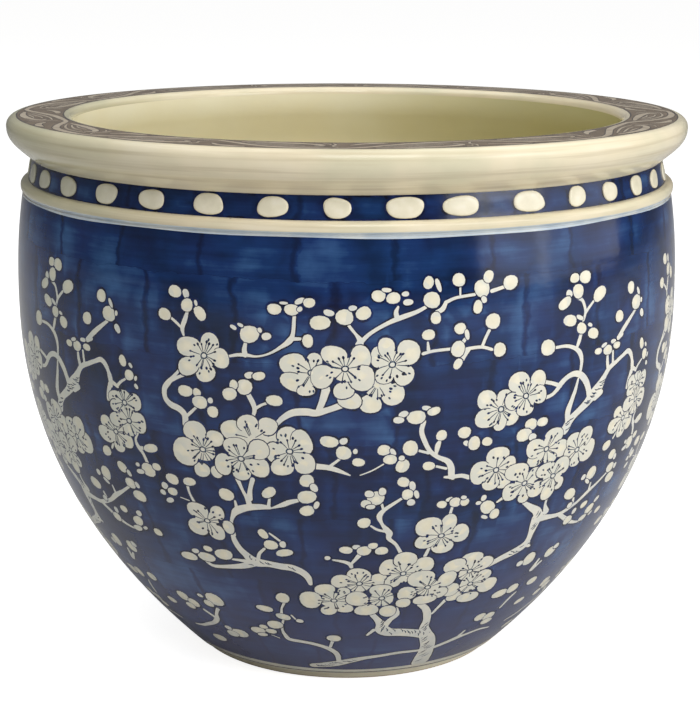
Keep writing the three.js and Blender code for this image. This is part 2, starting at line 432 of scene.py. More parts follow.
def paintRing(name, parts, brushed, top, shapes, dots=(), turnStep=3):
    # brushed is the number of the part that is painted and top the distance down at which it begins;
    # shapes are (finish, [(turn, down), ...]) in painter's order, dots are loose chart points
    sections = measureSection(parts, brushed, top)
    start, end = sections[0]["from"], sections[-1]["to"]
    *chart, owners, firstDot, lastDot = layOutChart(sections, sections[brushed], shapes, dots, turnStep)
    made = delaunay_2d_cdt(*chart, 0, 1e-3, True)
    spots = np.array([tuple(p) for p in made[0]])
    turn = np.clip(spots[:, 0] / chartWidth, -180, 180)
    down = np.clip(-spots[:, 1], start, end)

    # the top shape over each triangle, and only triangles of some size inside the chart
    faces = np.array(made[2])
    covers = np.array([max((owners[i] for i in ids), default=-1) for ids in made[5]])
    centres = spots[faces].mean(1)
    (ax, ay), (bx, by) = [(spots[faces[:, k]] - spots[faces[:, 0]]).T for k in (1, 2)]
    keep = (np.abs(centres[:, 0]) < 180 * chartWidth) & (centres[:, 1] < -start) & (centres[:, 1] > -end)
    keep &= np.abs(ax * by - ay * bx) > 1e-7
    joined = joinSeams(turn, down, start, end)[faces]
    keep &= (joined != np.roll(joined, 1, axis=1)).all(1)
    faces, joined, covers, centres = faces[keep], joined[keep], covers[keep], centres[keep]

    radius = np.zeros(len(spots))
    height = np.zeros(len(spots))
    for section in sections:
        here = (down >= section["from"] - 1e-4) & (down <= section["to"] + 1e-4)
        radius[here] = np.interp(down[here], section["marks"], section["outline"][:, 0])
        height[here] = np.interp(down[here], section["marks"], section["outline"][:, 1])
    angle = np.radians(turn)
    solid = np.stack([radius * np.sin(angle), -radius * np.cos(angle), height], 1) * mm
    used = np.unique(joined)
    renumber = np.full(len(spots), -1)
    renumber[used] = np.arange(len(used))
    mesh = bpy.data.meshes.new(name)
    mesh.from_pydata(solid[used].tolist(), [], renumber[joined].tolist())

    sectionOf = np.clip(np.searchsorted([s["to"] for s in sections], -centres[:, 1]), 0, len(sections) - 1)
    brushedOver = (sectionOf == brushed) & (covers >= 0)
    ground = np.array([finishNames.index(s["finish"]) for s in sections])[sectionOf]
    strokes = np.array([finishNames.index(finish) for finish, _ in shapes] + [0])
    wanted = np.where(brushedOver, strokes[covers], ground)
    worn = sorted(set(wanted.tolist()))
    for index in worn:
        mesh.materials.append(finishes[finishNames[index]])
    mesh.polygons.foreach_set("material_index", np.searchsorted(worn, wanted))
    shadeAndUnwrap(mesh, sections, brushed, faces, sectionOf, turn, down, centres)

    # how near a corner lies to the drawing: 1 on a painted edge, fading to 0 a few millimetres off
    near = np.zeros(len(spots))
    near[np.unique(joined[brushedOver])] = 1
    near[[i for i, ids in enumerate(made[3]) if any(firstDot <= k < lastDot for k in ids)]] = 0
    fade = mesh.attributes.new("nearDrawing", "FLOAT", "POINT")
    fade.data.foreach_set("value", near[used].astype(np.float32))
    piece = bpy.data.objects.new(name, mesh)
    bpy.context.scene.collection.objects.link(piece)
    print("  %s: %d triangles" % (name, len(mesh.polygons)))
    return piece


# One panel of the painting, plum branches in blossom, listed flower by flower. Every spot is
# (turn, millimetres down the wall from the shoulder).
# blossom: heart, the turns its stamens fan over or None for all round, and its petals from the back
# to the front as (turn, down, wide, tall, lean)
blossoms = [
    ((-21.8, 64.5), None, [
        (-24.4, 60.3, 13.5, 10.5, 0), (-20.8, 57.3, 10, 10.5, 0), (-19.1, 65.2, 9.5, 10.5, 0),
        (-21.6, 74, 11, 9, -10), (-24.5, 71, 12.5, 9.5, -15)]),
    ((-5.2, 70.3), None, [
        (-8, 65.8, 13, 11, -20), (-7.9, 75.5, 13.5, 9.5, 15), (-6, 79.8, 9, 6, 0), (-4.7, 63.5, 8, 7, 0)]),
    ((4.6, 76.5), (70, 250), [
        (7, 82, 12.5, 11, -20), (3.6, 87, 11, 10, 0), (0.5, 84.8, 12, 9.5, 20)]),
    ((6.8, 66), None, [
        (4.5, 62, 6.5, 10.5, 0), (5.9, 57, 8.5, 10.5, 0), (9.2, 59.8, 11.5, 13.5, 0),
        (8.6, 72, 11, 9.5, -30), (5.6, 71.5, 9.5, 9, 0)]),
    ((-0.2, 68), None, [
        (-1.8, 61, 13.5, 10, 10), (2.1, 61.8, 10.5, 12, 0), (-0.4, 79.6, 11, 8.5, -15),
        (2.3, 73, 13.5, 13, 0), (-3.6, 72.2, 11.5, 12.5, 0)]),
    ((-14.6, 108.5), (-75, 75), [
        (-17.7, 104.3, 12.5, 11.5, -20), (-11.6, 106.5, 10, 11, 0), (-12, 100.5, 10.5, 9.5, 20),
        (-15.1, 99.8, 12, 9.5, 0)]),
    ((-23, 117.3), None, [
        (-24.1, 106.8, 14, 10.5, 0), (-20.7, 110, 9.5, 9.5, 0), (-21, 130, 7, 7, 0),
        (-23.6, 129.8, 9.5, 8.5, 0), (-26.2, 120, 15.5, 16, 0)]),
    ((-8.7, 114.3), None, [
        (-8.9, 105.5, 12, 10, -10), (-6.8, 108.8, 11, 14, -20), (-11.2, 115.5, 8.5, 12, 0),
        (-10, 123.8, 12, 10, 0), (-6.4, 121.2, 10.5, 12.5, 0)]),
    ((-16.6, 120.5), None, [
        (-16.7, 129.4, 10, 8, 0), (-13.7, 125, 11.5, 11, 0), (-13.6, 114.4, 11.5, 11, 0),
        (-17.4, 113.2, 13.5, 9.5, 0), (-19.7, 124.8, 9.5, 12.5, 0)]),
    ((-37.2, 97.2), None, [
        (-39.3, 95.3, 9.5, 8, -20), (-39.1, 100.5, 9.5, 7.5, 15), (-35.2, 96, 10, 10, 0),
        (-36.8, 103, 9, 7.5, 0)]),
    ((-40.2, 116), None, [
        (-42.3, 111.3, 8.5, 7.5, 0), (-40, 124.2, 8.5, 8, 0), (-37.8, 120, 8, 9.5, 0),
        (-38.8, 113, 8, 7, 0), (-42.7, 119, 12.5, 9.5, 10)]),
    ((-36.7, 107.5), None, [
        (-39.5, 108.2, 10.5, 8.5, 0), (-36.9, 113.2, 9, 6.5, 0), (-34.7, 107.6, 10.5, 11.5, 0)]),
    ((-24.5, 163.5), None, [
        (-20.6, 166, 6.5, 9, 0), (-22.2, 157, 8.5, 9, 0), (-26, 157, 12.5, 10.5, 0),
        (-26.7, 168.8, 11.5, 12, 0), (-23.1, 171, 9.5, 10.5, 0)]),
    ((24.3, 94.3), None, [
        (21.8, 88.3, 11.5, 10.5, 0), (24.8, 87.8, 8.5, 9, 0), (26, 99, 10.5, 10, 0),
        (24.3, 102, 8, 8.5, 0), (22, 98.6, 13.5, 11, 0)]),
    ((28.6, 88.5), None, [
        (30.7, 80.3, 9.5, 10.5, 0), (31.1, 88.8, 9.5, 10, 0), (28.7, 95.7, 10.5, 8, 0),
        (26.2, 90.5, 8.5, 10, 0), (27.2, 80.2, 12.5, 11, -10)]),
    ((24.7, 130), None, [
        (24.6, 121.3, 13.5, 10.5, 0), (27, 127, 8, 9, 0), (26.4, 137.8, 10, 8.5, 0),
        (24.1, 138.2, 10, 8.5, 0), (21.8, 130.5, 11.5, 13.5, 0)]),
    ((34, 122), None, [
        (35.2, 114.8, 13, 9.5, 10), (37.2, 123.5, 10, 11, 0), (35.2, 128.6, 8.5, 7, 0),
        (32, 127.8, 10, 8, 0), (31.6, 120.5, 11, 12, 0)]),
    ((41.2, 127), None, [
        (41.3, 134, 8, 7.5, 0), (39.4, 127.5, 8, 9, 0), (40, 120.5, 12, 9, -10),
        (43.8, 129, 13, 13.5, 0), (42.6, 119.7, 11.5, 12, 0)]),
    ((30.8, 141.5), None, [
        (28.8, 133.2, 14.5, 11, 0), (32.6, 136.8, 9, 9, 0), (31.3, 151.3, 7, 6.5, 0),
        (28.4, 145.8, 11, 11, 0), (33.6, 147, 11, 10, 0)]),
    ((36.8, 140.5), None, [
        (38.5, 146.2, 8, 8, 0), (36.5, 150.5, 9.5, 10.5, 0), (34.9, 135.6, 13, 9.5, 0),
        (38.3, 135, 11.5, 11.5, 0)]),
    ((16.7, 170), None, [
        (17.7, 161, 9, 11, 10), (20.2, 169.5, 10, 13, 0), (17.3, 178, 13, 9.5, 0),
        (13.9, 173.5, 11.5, 9.5, 0), (14.1, 162.7, 15, 12, -10)]),
    ((24.6, 201), None, [
        (27.3, 196, 10, 11, 20), (24.2, 190.5, 13, 10, 0), (20.9, 194.8, 12.5, 11.5, 0)]),
    ((2.6, 204), None, [
        (6.2, 200.8, 9, 10, 0), (2.4, 197.2, 13, 11.5, 0), (-0.8, 202.2, 12, 10.5, 0)]),
    ((10.8, 197), None, [
        (9, 203, 9, 10, 0), (7.9, 191.3, 10.5, 12, 0), (14.5, 191, 11.5, 12, 0),
        (10.8, 185.8, 12.5, 11.5, 0)]),
    ((25.9, 212.5), None, [
        (28.3, 206.5, 10.5, 8.5, 20), (23.2, 222, 9.5, 8, 0), (26.8, 225, 13.5, 9, 0),
        (30.4, 216.5, 12, 13, 0), (21.9, 215.5, 9.5, 11, 0)]),
    ((-2.4, 219), None, [
        (-0.4, 211.3, 7, 8, 0), (-0.3, 226, 9.5, 8.5, 0), (-3.6, 228.4, 9, 8.5, 0),
        (-4.1, 209.5, 11.5, 9.5, 0), (-7.2, 219, 12.5, 14.5, 0)]),
    ((16.4, 210.5), None, [
        (20.1, 205, 10.5, 12.5, 0), (19.6, 216.5, 8, 9, 0), (16.5, 221.5, 13.5, 8, 0),
        (12.3, 214.5, 10.5, 12, 0), (14.6, 202.3, 16, 12.5, 0)]),
    ((7.3, 217.5), None, [
        (12, 223, 8.5, 8, 0), (9, 230, 9.5, 10.5, 0), (4.4, 228, 13.5, 10, 0), (6.8, 209.8, 12, 9, 0),
        (2.3, 217.5, 12.5, 12.5, 0)]),
]

# bud or sepal: (turn, down, wide, tall, lean)
buds = [
    (-41.3, 40, 7.3, 6.8, 10), (-39.6, 49, 9.4, 8.6, 0), (-39.2, 43, 2.4, 5.5, -30),
    (-38, 48, 2.2, 3, 0), (-44.8, 54, 7.6, 6.8, 0), (-37.8, 56.2, 3.8, 5.4, -35),
    (-36.9, 73.4, 4.8, 6.8, -25), (-35.7, 80.8, 6.2, 6.2, 0), (-35.3, 75.2, 2, 3.4, -40),
    (-34.4, 82, 2, 3, 20), (-34.4, 86.5, 2.4, 3.2, -40), (-26.7, 32, 8.2, 6.2, 10),
    (-24.8, 32.6, 3.6, 5.2, -20), (-24.6, 38.6, 6.8, 7.2, 0), (-22.4, 42.3, 6.2, 8.2, -35),
    (-23.1, 37, 1.8, 3.4, -20), (-28.5, 44.6, 8, 6.2, 10), (-14.5, 51.3, 10.4, 9.2, 0),
    (-17, 48.2, 4, 2.2, 25), (-15.9, 46.8, 3.6, 1.8, 25), (-12.9, 48.9, 2.2, 3, -30),
    (-11.9, 52, 5.4, 3.8, -15), (-10.7, 37.6, 7.4, 5.8, 0), (-8.1, 37.6, 7.6, 6, 0),
    (-9.3, 34.3, 4.4, 1.6, 0), (-6.9, 33, 5.6, 3, -25), (-6.9, 37.2, 3, 2.6, -30),
    (-5.5, 33.8, 6, 5.2, 0), (-5.7, 53.6, 5.8, 6.8, 0), (-15.4, 79.6, 8.4, 8.6, 0),
    (-17.1, 78.8, 4.6, 5.4, 20), (-17.8, 84, 8.4, 6.6, -15), (-14.6, 73, 5.2, 3.6, -20),
    (-13.1, 73.2, 7.2, 4.4, -15), (-10.8, 86, 9.2, 5.8, 0), (-25.2, 84.8, 9, 6.2, 5),
    (-23.2, 85, 4.8, 4.6, 25), (-22.8, 90.2, 8.8, 7.2, -5), (-21, 88.6, 3, 3.4, 0),
    (-20.7, 94.8, 6.6, 6.2, 0), (-3.9, 44, 10.4, 7.6, -5), (-2.6, 38.8, 5.6, 3.4, 10),
    (-0.3, 41, 9.4, 8, -5), (0.9, 36.3, 4.4, 2.8, -10), (2.5, 39, 7.8, 7, -30), (4.7, 30.2, 7, 6.2, 15),
    (5.9, 27.2, 5, 2.4, 5), (6.9, 31.4, 7.4, 6, 0), (8.7, 29.4, 4, 2.6, 0), (9.1, 33.7, 5.2, 3.4, -5),
    (12.2, 24, 5.4, 6.8, 25), (13.7, 25.5, 2.6, 7.5, -20), (12.7, 33, 8.8, 8.6, 0),
    (13.3, 42.4, 5.4, 6.6, -10), (16.9, 23.3, 6.8, 7.2, 0), (20.6, 28.5, 8.6, 9.4, 0),
    (21.7, 22.5, 5.4, 7, 20), (20.9, 34.3, 3, 4, -20), (19.9, 37.9, 5.2, 7, 10),
    (25.4, 26.5, 8.8, 7.6, 0), (22.4, 46, 8.8, 8, 10), (23.6, 61.5, 7.4, 7.4, 0),
    (16.8, 59.3, 7.8, 8.4, 15), (16.8, 67.2, 4.6, 6, 30), (17.1, 48.6, 6.6, 5.8, -20),
    (18.2, 52, 2.6, 5.6, -10), (12.2, 51, 6.8, 5.8, 0), (10.6, 95, 9.8, 7.8, -5),
    (8.6, 93, 5.6, 3.4, -25), (7.9, 96.2, 6, 3.6, 5), (12.1, 90.1, 5, 2.6, 10),
    (13.3, 92.1, 7.4, 4.4, -20), (-2.6, 108, 9.6, 6.6, 10), (-0.4, 107.6, 4.6, 3.6, -20),
    (-0.4, 114.4, 8.2, 7.8, 0), (1.4, 113.5, 2.6, 3, 0), (1.9, 119.9, 6.6, 5, 10),
    (5.8, 113, 7, 6.2, 10), (7.2, 114.3, 2.8, 4.6, -30), (6.8, 118.6, 7.2, 5.8, 10),
    (8.8, 122.6, 7.4, 8, 20), (9.9, 112.4, 8.2, 8.8, 0), (8.6, 118, 3.2, 3.2, 0),
    (14.7, 106, 5.8, 6.2, 0), (13, 123.5, 6.8, 5.2, 0), (18.4, 105.4, 7.2, 6.8, 15),
    (18.9, 111.8, 4, 3, 30), (20.2, 112.2, 7, 8, 0), (22.4, 112, 6, 5.2, 20), (30.1, 105.3, 8, 6.6, 0),
    (32.3, 105, 7.2, 5.4, 5), (29, 111, 9.6, 7.6, 0), (30.7, 113, 5, 4.4, 20), (37.6, 28.3, 7, 5, 0),
    (39.9, 28.6, 8.6, 7, 10), (38.3, 35.6, 7.8, 8, 0), (36.4, 36.2, 4.6, 4.2, 20),
    (35.5, 41, 9.6, 5.8, -25), (43.2, 39.1, 11, 7.6, -20), (38.7, 50, 6, 2.4, 25),
    (36.6, 50.8, 9.8, 6.2, 15), (39.1, 56, 7.4, 6.2, 15), (41, 55, 4, 2, 20), (41.8, 60.1, 8.4, 6.2, 15),
    (32.3, 63.6, 9.6, 8.6, 0), (45.6, 71.4, 7.6, 5.8, 5), (44.6, 68.1, 5, 2.2, -15),
    (43.2, 70.8, 6, 3.8, 0), (47, 67.3, 5, 2.4, 0), (48, 70, 6.4, 4, 5), (-33, 121.6, 10.4, 5, -12),
    (-43.6, 130, 7.6, 6.2, -20), (-40.6, 138, 7.8, 6.4, 25), (-39.2, 141, 3, 4.6, -20),
    (-39.6, 147.8, 7.8, 6.8, 0), (-38, 148, 3.2, 4.2, -20), (-38.2, 155.4, 9.4, 7.4, 10),
    (-44.2, 169, 6.2, 5, -15), (-41.2, 175, 8.6, 6.8, -25), (-40.1, 168.8, 5, 3.8, -30),
    (-42.2, 181, 7.4, 4.4, -12), (-39.9, 179.2, 4, 2.4, -30), (-36.8, 179.8, 6.2, 5.2, 0),
    (-34.4, 135.8, 9.4, 8.6, 0), (-36.3, 138, 6, 3, -10), (-32.5, 132.7, 6, 4.4, 0),
    (-36.6, 133.8, 3, 2.6, 0), (-29.7, 138.7, 8.4, 6.6, 5), (-26.4, 138.6, 8.4, 5, -8),
    (-31.6, 144, 4.2, 4.8, 20), (-30.2, 147, 6.4, 5.2, 0), (-32.3, 148.7, 4, 3.4, 10),
    (-31.2, 153.3, 5.4, 3.4, -20), (-19.9, 143.8, 9.2, 7.4, 12), (-12.5, 140, 9, 5.8, -35),
    (-6.2, 131.4, 8, 7.6, 0), (-5.1, 135.6, 4, 5.4, -20), (-6.3, 141.6, 10.4, 8, -5),
    (-6.4, 150.5, 8.4, 6.4, -25), (-4.8, 146.6, 3, 5, 20), (4.8, 142, 9.6, 8.6, 0),
    (3.7, 139.3, 5, 4.4, 0), (5.8, 138, 4.2, 4.8, 0), (3.2, 145.6, 5.6, 5, 20), (4, 147.6, 5, 3, 0),
    (3, 158.2, 7.2, 6.8, 0), (9.1, 132.5, 7, 5.8, 20), (10.6, 135.2, 3.4, 6.2, -10),
    (9.9, 140.4, 6.4, 6.4, 0), (11.4, 140.6, 2.8, 5.4, -20), (10.6, 145.6, 4.4, 4.4, 0),
    (15.9, 148.4, 6, 4.6, 20), (17.1, 145.4, 4.4, 2.6, -15), (18.2, 147.7, 6.4, 6.2, 0),
    (19.9, 148.2, 5, 5.2, 20), (19.6, 145.1, 3.4, 2.6, 20), (24.4, 153.6, 8, 10, -40),
    (26.1, 159, 6.2, 6.6, 0), (23.3, 147, 3.4, 4, 0), (22.5, 150, 3.4, 2.6, 0),
    (24.2, 160.2, 4.6, 2.4, 25), (0, 177.4, 7.4, 5.2, 15), (1.8, 175.1, 4.4, 3.2, 0),
    (3.2, 178, 8, 6.8, 0), (4.7, 174.4, 5.4, 4.4, 0), (6.3, 178.3, 7, 6, 0), (-3.3, 183.5, 3.4, 3, 0),
    (42.8, 156.8, 9.8, 7.6, 20), (44, 165.5, 4.4, 4, 0), (47.3, 146.3, 8.4, 9, 20),
    (45.2, 147.5, 3.8, 4, 0), (46.8, 151.4, 6, 2.4, 35), (46.3, 171.5, 3.6, 4.6, 0),
    (45.4, 177.2, 7, 6.6, 0), (-14.4, 168.2, 4.8, 7.4, -30), (-13.3, 175.8, 7.8, 7, 0),
    (-11, 181, 10, 5.2, -12), (-11.1, 174.8, 3.6, 5, 0), (-23, 187.2, 11.6, 7.8, -8),
    (-26.1, 184.6, 6, 4.2, 0), (-27, 191.6, 11, 7.2, 0), (-29.1, 188.2, 5, 3.6, -25),
    (-31.1, 193.6, 11, 6.4, 0), (-13, 219, 8, 8.8, 25), (-17.8, 231, 9.8, 6, 10),
    (-14, 237.5, 9, 5.8, 15), (-10.4, 240.5, 4.4, 3.6, 15), (-16.7, 247, 9.8, 8.2, -15),
    (-18.4, 255, 6.8, 5.2, 0), (-20, 251, 5.4, 4.2, 0), (-22, 256, 9.6, 6.6, -10),
    (-21.3, 260.4, 7, 3.6, -12), (-2.9, 258, 8.4, 6.8, 0), (39, 201.5, 9, 10, 0),
    (36.8, 203.5, 4.6, 4.6, 0), (45, 201, 8.4, 8.6, 0), (46.2, 197.5, 4.6, 4.4, 0),
    (35.8, 229, 11, 7.4, 0), (39.3, 227.2, 8.6, 8, 0), (45.2, 226, 8.4, 7, 0), (34.5, 251, 8, 7.8, 0),
    (37.6, 252.5, 8, 8, 0), (38.2, 258.5, 8.6, 6.4, 0), (46.5, 246, 8, 6, -10), (-40, 235.5, 9, 8.4, 0),
    (-37.6, 240, 8.6, 7.6, 0), (-39.6, 244.5, 7.4, 6, 0), (-30, 230.5, 12, 11.4, 0),
    (-32.4, 236, 7, 6.2, 0), (-33.7, 229.6, 4, 3.4, 0), (-28.4, 264, 11, 9.4, -10),
    (-31, 266.5, 8, 7, 0), (-31.2, 260.2, 4.6, 4.6, 0), (-38.4, 278, 11, 7.6, -10),
]

# one brush stroke each: (turn, down, thick) from end to end
twigs = [
    [(-39.9, 53, 2), (-42.8, 60, 3.4), (-44.8, 65.6, 3)],
    [(48.5, 79, 3), (50, 77, 2.8), (51.4, 75.4, 3.4), (52.4, 77.4, 3.6), (53, 81, 3), (53.3, 84.5, 4),
     (53.4, 89, 2.6)],
    [(53.3, 86, 3), (54.8, 88.6, 2.4)],
    [(54.7, 88.4, 2.2), (55.6, 85.6, 1.8), (56.6, 83.5, 1.4)],
    [(53.2, 88, 3.6), (52.6, 93, 3), (52.4, 97, 3)],
    [(-24.5, 42, 1.8), (-24.9, 46, 3), (-25.4, 51, 2.8), (-25.1, 55.5, 1)],
    [(-27.3, 46.3, 1.6), (-26.4, 48.4, 1.8), (-25.7, 50.4, 1.4)],
    [(-18, 63.9, 1.4), (-16.4, 62.6, 2), (-15, 62.4, 2.2), (-13.4, 62.8, 1.2), (-11.5, 61, 1.3),
     (-9.6, 57, 2.2), (-8.4, 53.8, 3.6), (-7.9, 50, 2.4), (-7.7, 41, 2)],
    [(-15.2, 62.3, 3.4), (-15.3, 59.6, 3), (-15.1, 56, 2)],
    [(-8.2, 52.8, 2.4), (-6.8, 52.6, 1.8)],
    [(-25.6, 104, 4), (-25.6, 98.5, 4.2), (-26.5, 95.3, 4.2), (-28, 93.4, 4), (-28.9, 90, 3.4),
     (-28.9, 85, 3.6), (-28.2, 81.6, 3.6), (-27.2, 78, 2.4), (-26, 73.5, 1.6)],
    [(-27.9, 80.6, 2.2), (-26.3, 77.6, 2), (-24.8, 75.4, 1.8)],
    [(-23.5, 93.4, 1.6), (-24.5, 96.6, 2), (-25.4, 99.4, 2)],
    [(-14.8, 83.6, 3), (-14.2, 87.6, 3.2), (-13.9, 91.5, 2.8), (-14.2, 95.5, 1.8)],
    [(-13.7, 90.8, 2), (-12.8, 88.8, 1.6), (-12.1, 87.8, 1.6)],
    [(-10.7, 99.5, 2.4), (-9.6, 95.5, 3.4), (-8, 92.2, 4.4), (-6, 91.5, 4.6), (-4.5, 92, 4.2),
     (-2.6, 90, 3.6), (-0.8, 87.6, 4)],
    [(-4.2, 91, 3.4), (-3.6, 86, 4), (-3, 79, 5)],
    [(1.9, 55.5, 5), (2, 53, 3.6), (1.4, 50, 1.8), (0.7, 47, 1.8), (0.2, 44.5, 1.8)],
    [(2.1, 54, 2.8), (3.6, 49.2, 2.2), (6, 44.4, 2.4), (8, 41.6, 3), (10.4, 38.8, 2.4), (12, 36, 2)],
    [(7.4, 41, 3), (7.3, 38.6, 2.6), (7.6, 36, 1.4)],
    [(13.3, 39.6, 2.4), (14.3, 38, 3), (14.8, 35, 2.4)],
    [(14.8, 34.6, 2.2), (16.5, 32.4, 1.8), (19.4, 31.3, 1.8)],
    [(17.1, 27, 1.2), (17.1, 31, 1.2)],
    [(22.2, 30.2, 2.4), (24.2, 28.6, 2)],
    [(21.8, 50.6, 2), (21.2, 54.5, 2), (20.7, 58.6, 2)],
    [(22.3, 61, 1.8), (20.6, 59.2, 2), (18.6, 59.4, 2), (17.6, 60, 2)],
    [(18.5, 60, 2.4), (17.8, 63, 2.8), (17.3, 66.2, 2.6)],
    [(15.8, 59, 1.8), (13, 59.6, 1.8), (11.4, 60.8, 2)],
    [(12.2, 58.8, 2.2), (12.1, 55, 1.2)],
    [(17.9, 54.4, 2.2), (17.4, 56.5, 2.4)],
    [(11.8, 97.6, 2.8), (11.5, 103, 3), (12.1, 109, 3), (13, 114.6, 2.8), (14.3, 118.4, 2.8),
     (16, 121.4, 3.6), (16.7, 125.4, 4.2), (16.9, 130, 4.2), (17.2, 132, 2.6)],
    [(16.8, 131.4, 2.8), (18.6, 131, 2.8), (20, 132.6, 3)],
    [(14.5, 109, 1.8), (14.2, 112, 3.4), (14, 117.4, 1.6)],
    [(14.2, 124, 1.6), (15.9, 125.8, 1.8)],
    [(11, 113.8, 1.6), (12.8, 115.8, 1.8)],
    [(15.8, 131, 1.6), (16.8, 131.2, 2.6)],
    [(-5.2, 122.4, 4), (-3, 123, 3.6), (-1.4, 124.6, 3), (0.6, 127.6, 1)],
    [(2.2, 127.6, 0.7), (4, 125, 0.9), (5.8, 121.2, 0.9)],
    [(-2.6, 122.6, 2), (-1, 118, 1.6)],
    [(38.1, 39, 2.2), (39.2, 41, 2.2), (39.8, 45.6, 2.2), (39.8, 49, 2), (39.4, 51.6, 2.4)],
    [(41.7, 42.6, 1.8), (40.5, 46, 2), (39.8, 48.6, 2)],
    [(39, 59.2, 2.4), (38.6, 63, 3), (38.2, 66, 2)],
    [(33.6, 64.2, 1.8), (35.6, 64.2, 2), (37, 65.2, 2.4), (38.2, 67.2, 3), (39, 70, 3.6),
     (39.4, 74, 2.8), (39.3, 79.5, 2.2)],
    [(43.4, 97, 5), (44.8, 95, 4)],
    [(37.6, 108, 3.6), (37.4, 101.5, 4.6), (38, 95, 3.4), (38.5, 90, 2.8), (38.9, 84, 1.6)],
    [(42, 95.5, 5), (41.4, 90.4, 4.4), (40.7, 86.2, 4.6), (39.5, 82.2, 4.4), (38, 80.6, 3.8),
     (36.5, 81.8, 3.4), (35.2, 85, 3.8), (34.6, 87.6, 3), (33.6, 90.2, 2.4), (32.2, 91.4, 2.4)],
    [(35.2, 86, 2.8), (33.6, 83.8, 2.4), (32.2, 82.4, 2.4)],
    [(46, 82, 3), (45.7, 78, 2.8), (45.6, 74, 2)],
    [(47.2, 80, 2.2), (47, 73, 1.8)],
    [(48.3, 66, 3.4), (49.4, 64.8, 2.6)],
    [(-35.1, 113, 2), (-35.9, 118, 1.8), (-35.6, 122, 3), (-34.8, 126, 2.4), (-34.3, 131, 2.4)],
    [(-35.4, 122.6, 2.4), (-34.2, 122.4, 2.4)],
    [(-42, 127, 1.8), (-41.4, 124, 1.8)],
    [(-26.9, 141, 2.2), (-26.8, 146, 1.6), (-26.2, 152, 2.2)],
    [(-28.8, 150, 0.7), (-27.2, 151.2, 0.8)],
    [(-19.9, 171, 3), (-19.9, 163, 2), (-19.3, 157.4, 3), (-18.4, 153.6, 5.4), (-16.4, 150.8, 4.8),
     (-14, 149.6, 4), (-12.6, 149.8, 2.4)],
    [(-12.3, 150, 1), (-10.4, 147.4, 3.2), (-9.2, 145.4, 3.4), (-7.8, 144, 2.4)],
    [(-18.4, 151.8, 2.4), (-18.5, 147.4, 1.4)],
    [(-17.6, 132.5, 3), (-16.9, 140, 2), (-16.3, 144.8, 3), (-16, 150, 4)],
    [(-15, 132.5, 3), (-15.6, 139, 2.8), (-15.9, 145, 4)],
    [(-12.8, 149.2, 2.4), (-12.5, 144, 1.6)],
    [(-18.8, 190.2, 3), (-22, 190, 1.4)],
    [(-14.6, 179, 1.8), (-15.7, 183, 2.2), (-16.2, 187.6, 2.6)],
    [(-13.2, 167.4, 1.2), (-12.2, 170.4, 1.8), (-11.4, 172.8, 1.4)],
    [(5.8, 146, 1.6), (6.1, 149.4, 1.6)],
    [(9, 142.8, 1.8), (7.3, 147, 2.4), (6.2, 150, 2.8), (5.5, 154, 3.6), (6, 159, 2), (6.8, 163, 3.6),
     (7.4, 166, 4.2), (7.4, 169.6, 3), (8.7, 174, 2.2), (9.7, 180, 2.4)],
    [(4.2, 160.4, 1.4), (5.3, 163, 1.8), (6.9, 164.6, 2)],
    [(17.8, 150.8, 1.8), (17.6, 156, 2)],
    [(26.1, 151, 1.6), (27.4, 148, 2.4)],
    [(14.9, 178, 2), (14.4, 184, 2.4)],
    [(2.3, 181.6, 3.2), (1.1, 187.4, 1.8)],
    [(1, 190.4, 2.4), (0.7, 188, 3), (-0.4, 186.2, 2.4), (-2.3, 184.9, 1.4)],
    [(35.6, 187.6, 4), (37, 189.6, 2.2)],
    [(36.9, 156, 1.8), (37, 160, 2.2), (37.8, 165, 5)],
    [(36.6, 169, 6), (39.4, 169.8, 3.8), (41.8, 170, 3.4), (43.8, 168, 3.2), (46, 165, 2.8),
     (48.2, 160, 3.6), (50.6, 155.6, 2.4), (53, 150.5, 1.8)],
    [(42, 170.6, 3), (44, 174.6, 3.4), (46, 178.6, 3.4), (48.6, 181.6, 2), (51.4, 182.4, 1.6)],
    [(48.2, 153.6, 1.4), (48.4, 158.6, 2.2)],
    [(44.4, 161, 1.8), (44.6, 164, 2.4)],
    [(-13, 224, 1.8), (-13.8, 229, 1.4), (-14.2, 234.4, 2)],
    [(-12, 235.2, 1.2), (-11.3, 238.8, 1.4)],
    [(-14.2, 240.5, 1.6), (-14.9, 247, 1.6), (-15.3, 252, 1.8), (-15, 258, 3), (-14.2, 262.2, 3.8),
     (-11, 263.8, 3.6), (-8, 265.8, 3.6), (-5, 269.6, 4), (-3, 274.6, 4), (-2.2, 279.4, 3.6),
     (-2, 286, 3.2)],
    [(-18.7, 259.4, 0.8), (-16.9, 262, 0.9)],
    [(-3.3, 261.4, 2.2), (-4, 268.4, 2)],
    [(25.6, 277.8, 4), (29, 274, 4), (31.4, 271.2, 4.6), (34, 269.4, 3), (38, 267.4, 2.6),
     (42, 269, 1.8)],
    [(31.4, 271, 3), (32.4, 264, 1.8)],
    [(8.8, 246, 5), (9.9, 239, 3.8), (11.2, 234, 3.4), (10.7, 228, 3)],
    [(5.2, 254.4, 1.8), (6.6, 249, 3)],
    [(19.5, 236.4, 2), (20.5, 230, 2.2), (21.4, 224.6, 3)],
    [(41.6, 233, 1.6), (40.6, 238, 2.6), (39.8, 246, 2)],
    [(42.4, 205, 2.2), (41.8, 213, 3.4)],
    [(43.6, 207.6, 2), (42.1, 213.2, 3)],
    [(-30.6, 240, 2.8), (-32, 246, 2.4), (-33, 252, 4), (-35, 257.6, 3.4), (-38, 262, 3.4),
     (-41, 266, 2.6), (-44.6, 268.4, 1.8)],
    [(-33.4, 250.6, 3), (-35.4, 245, 2.6)],
]

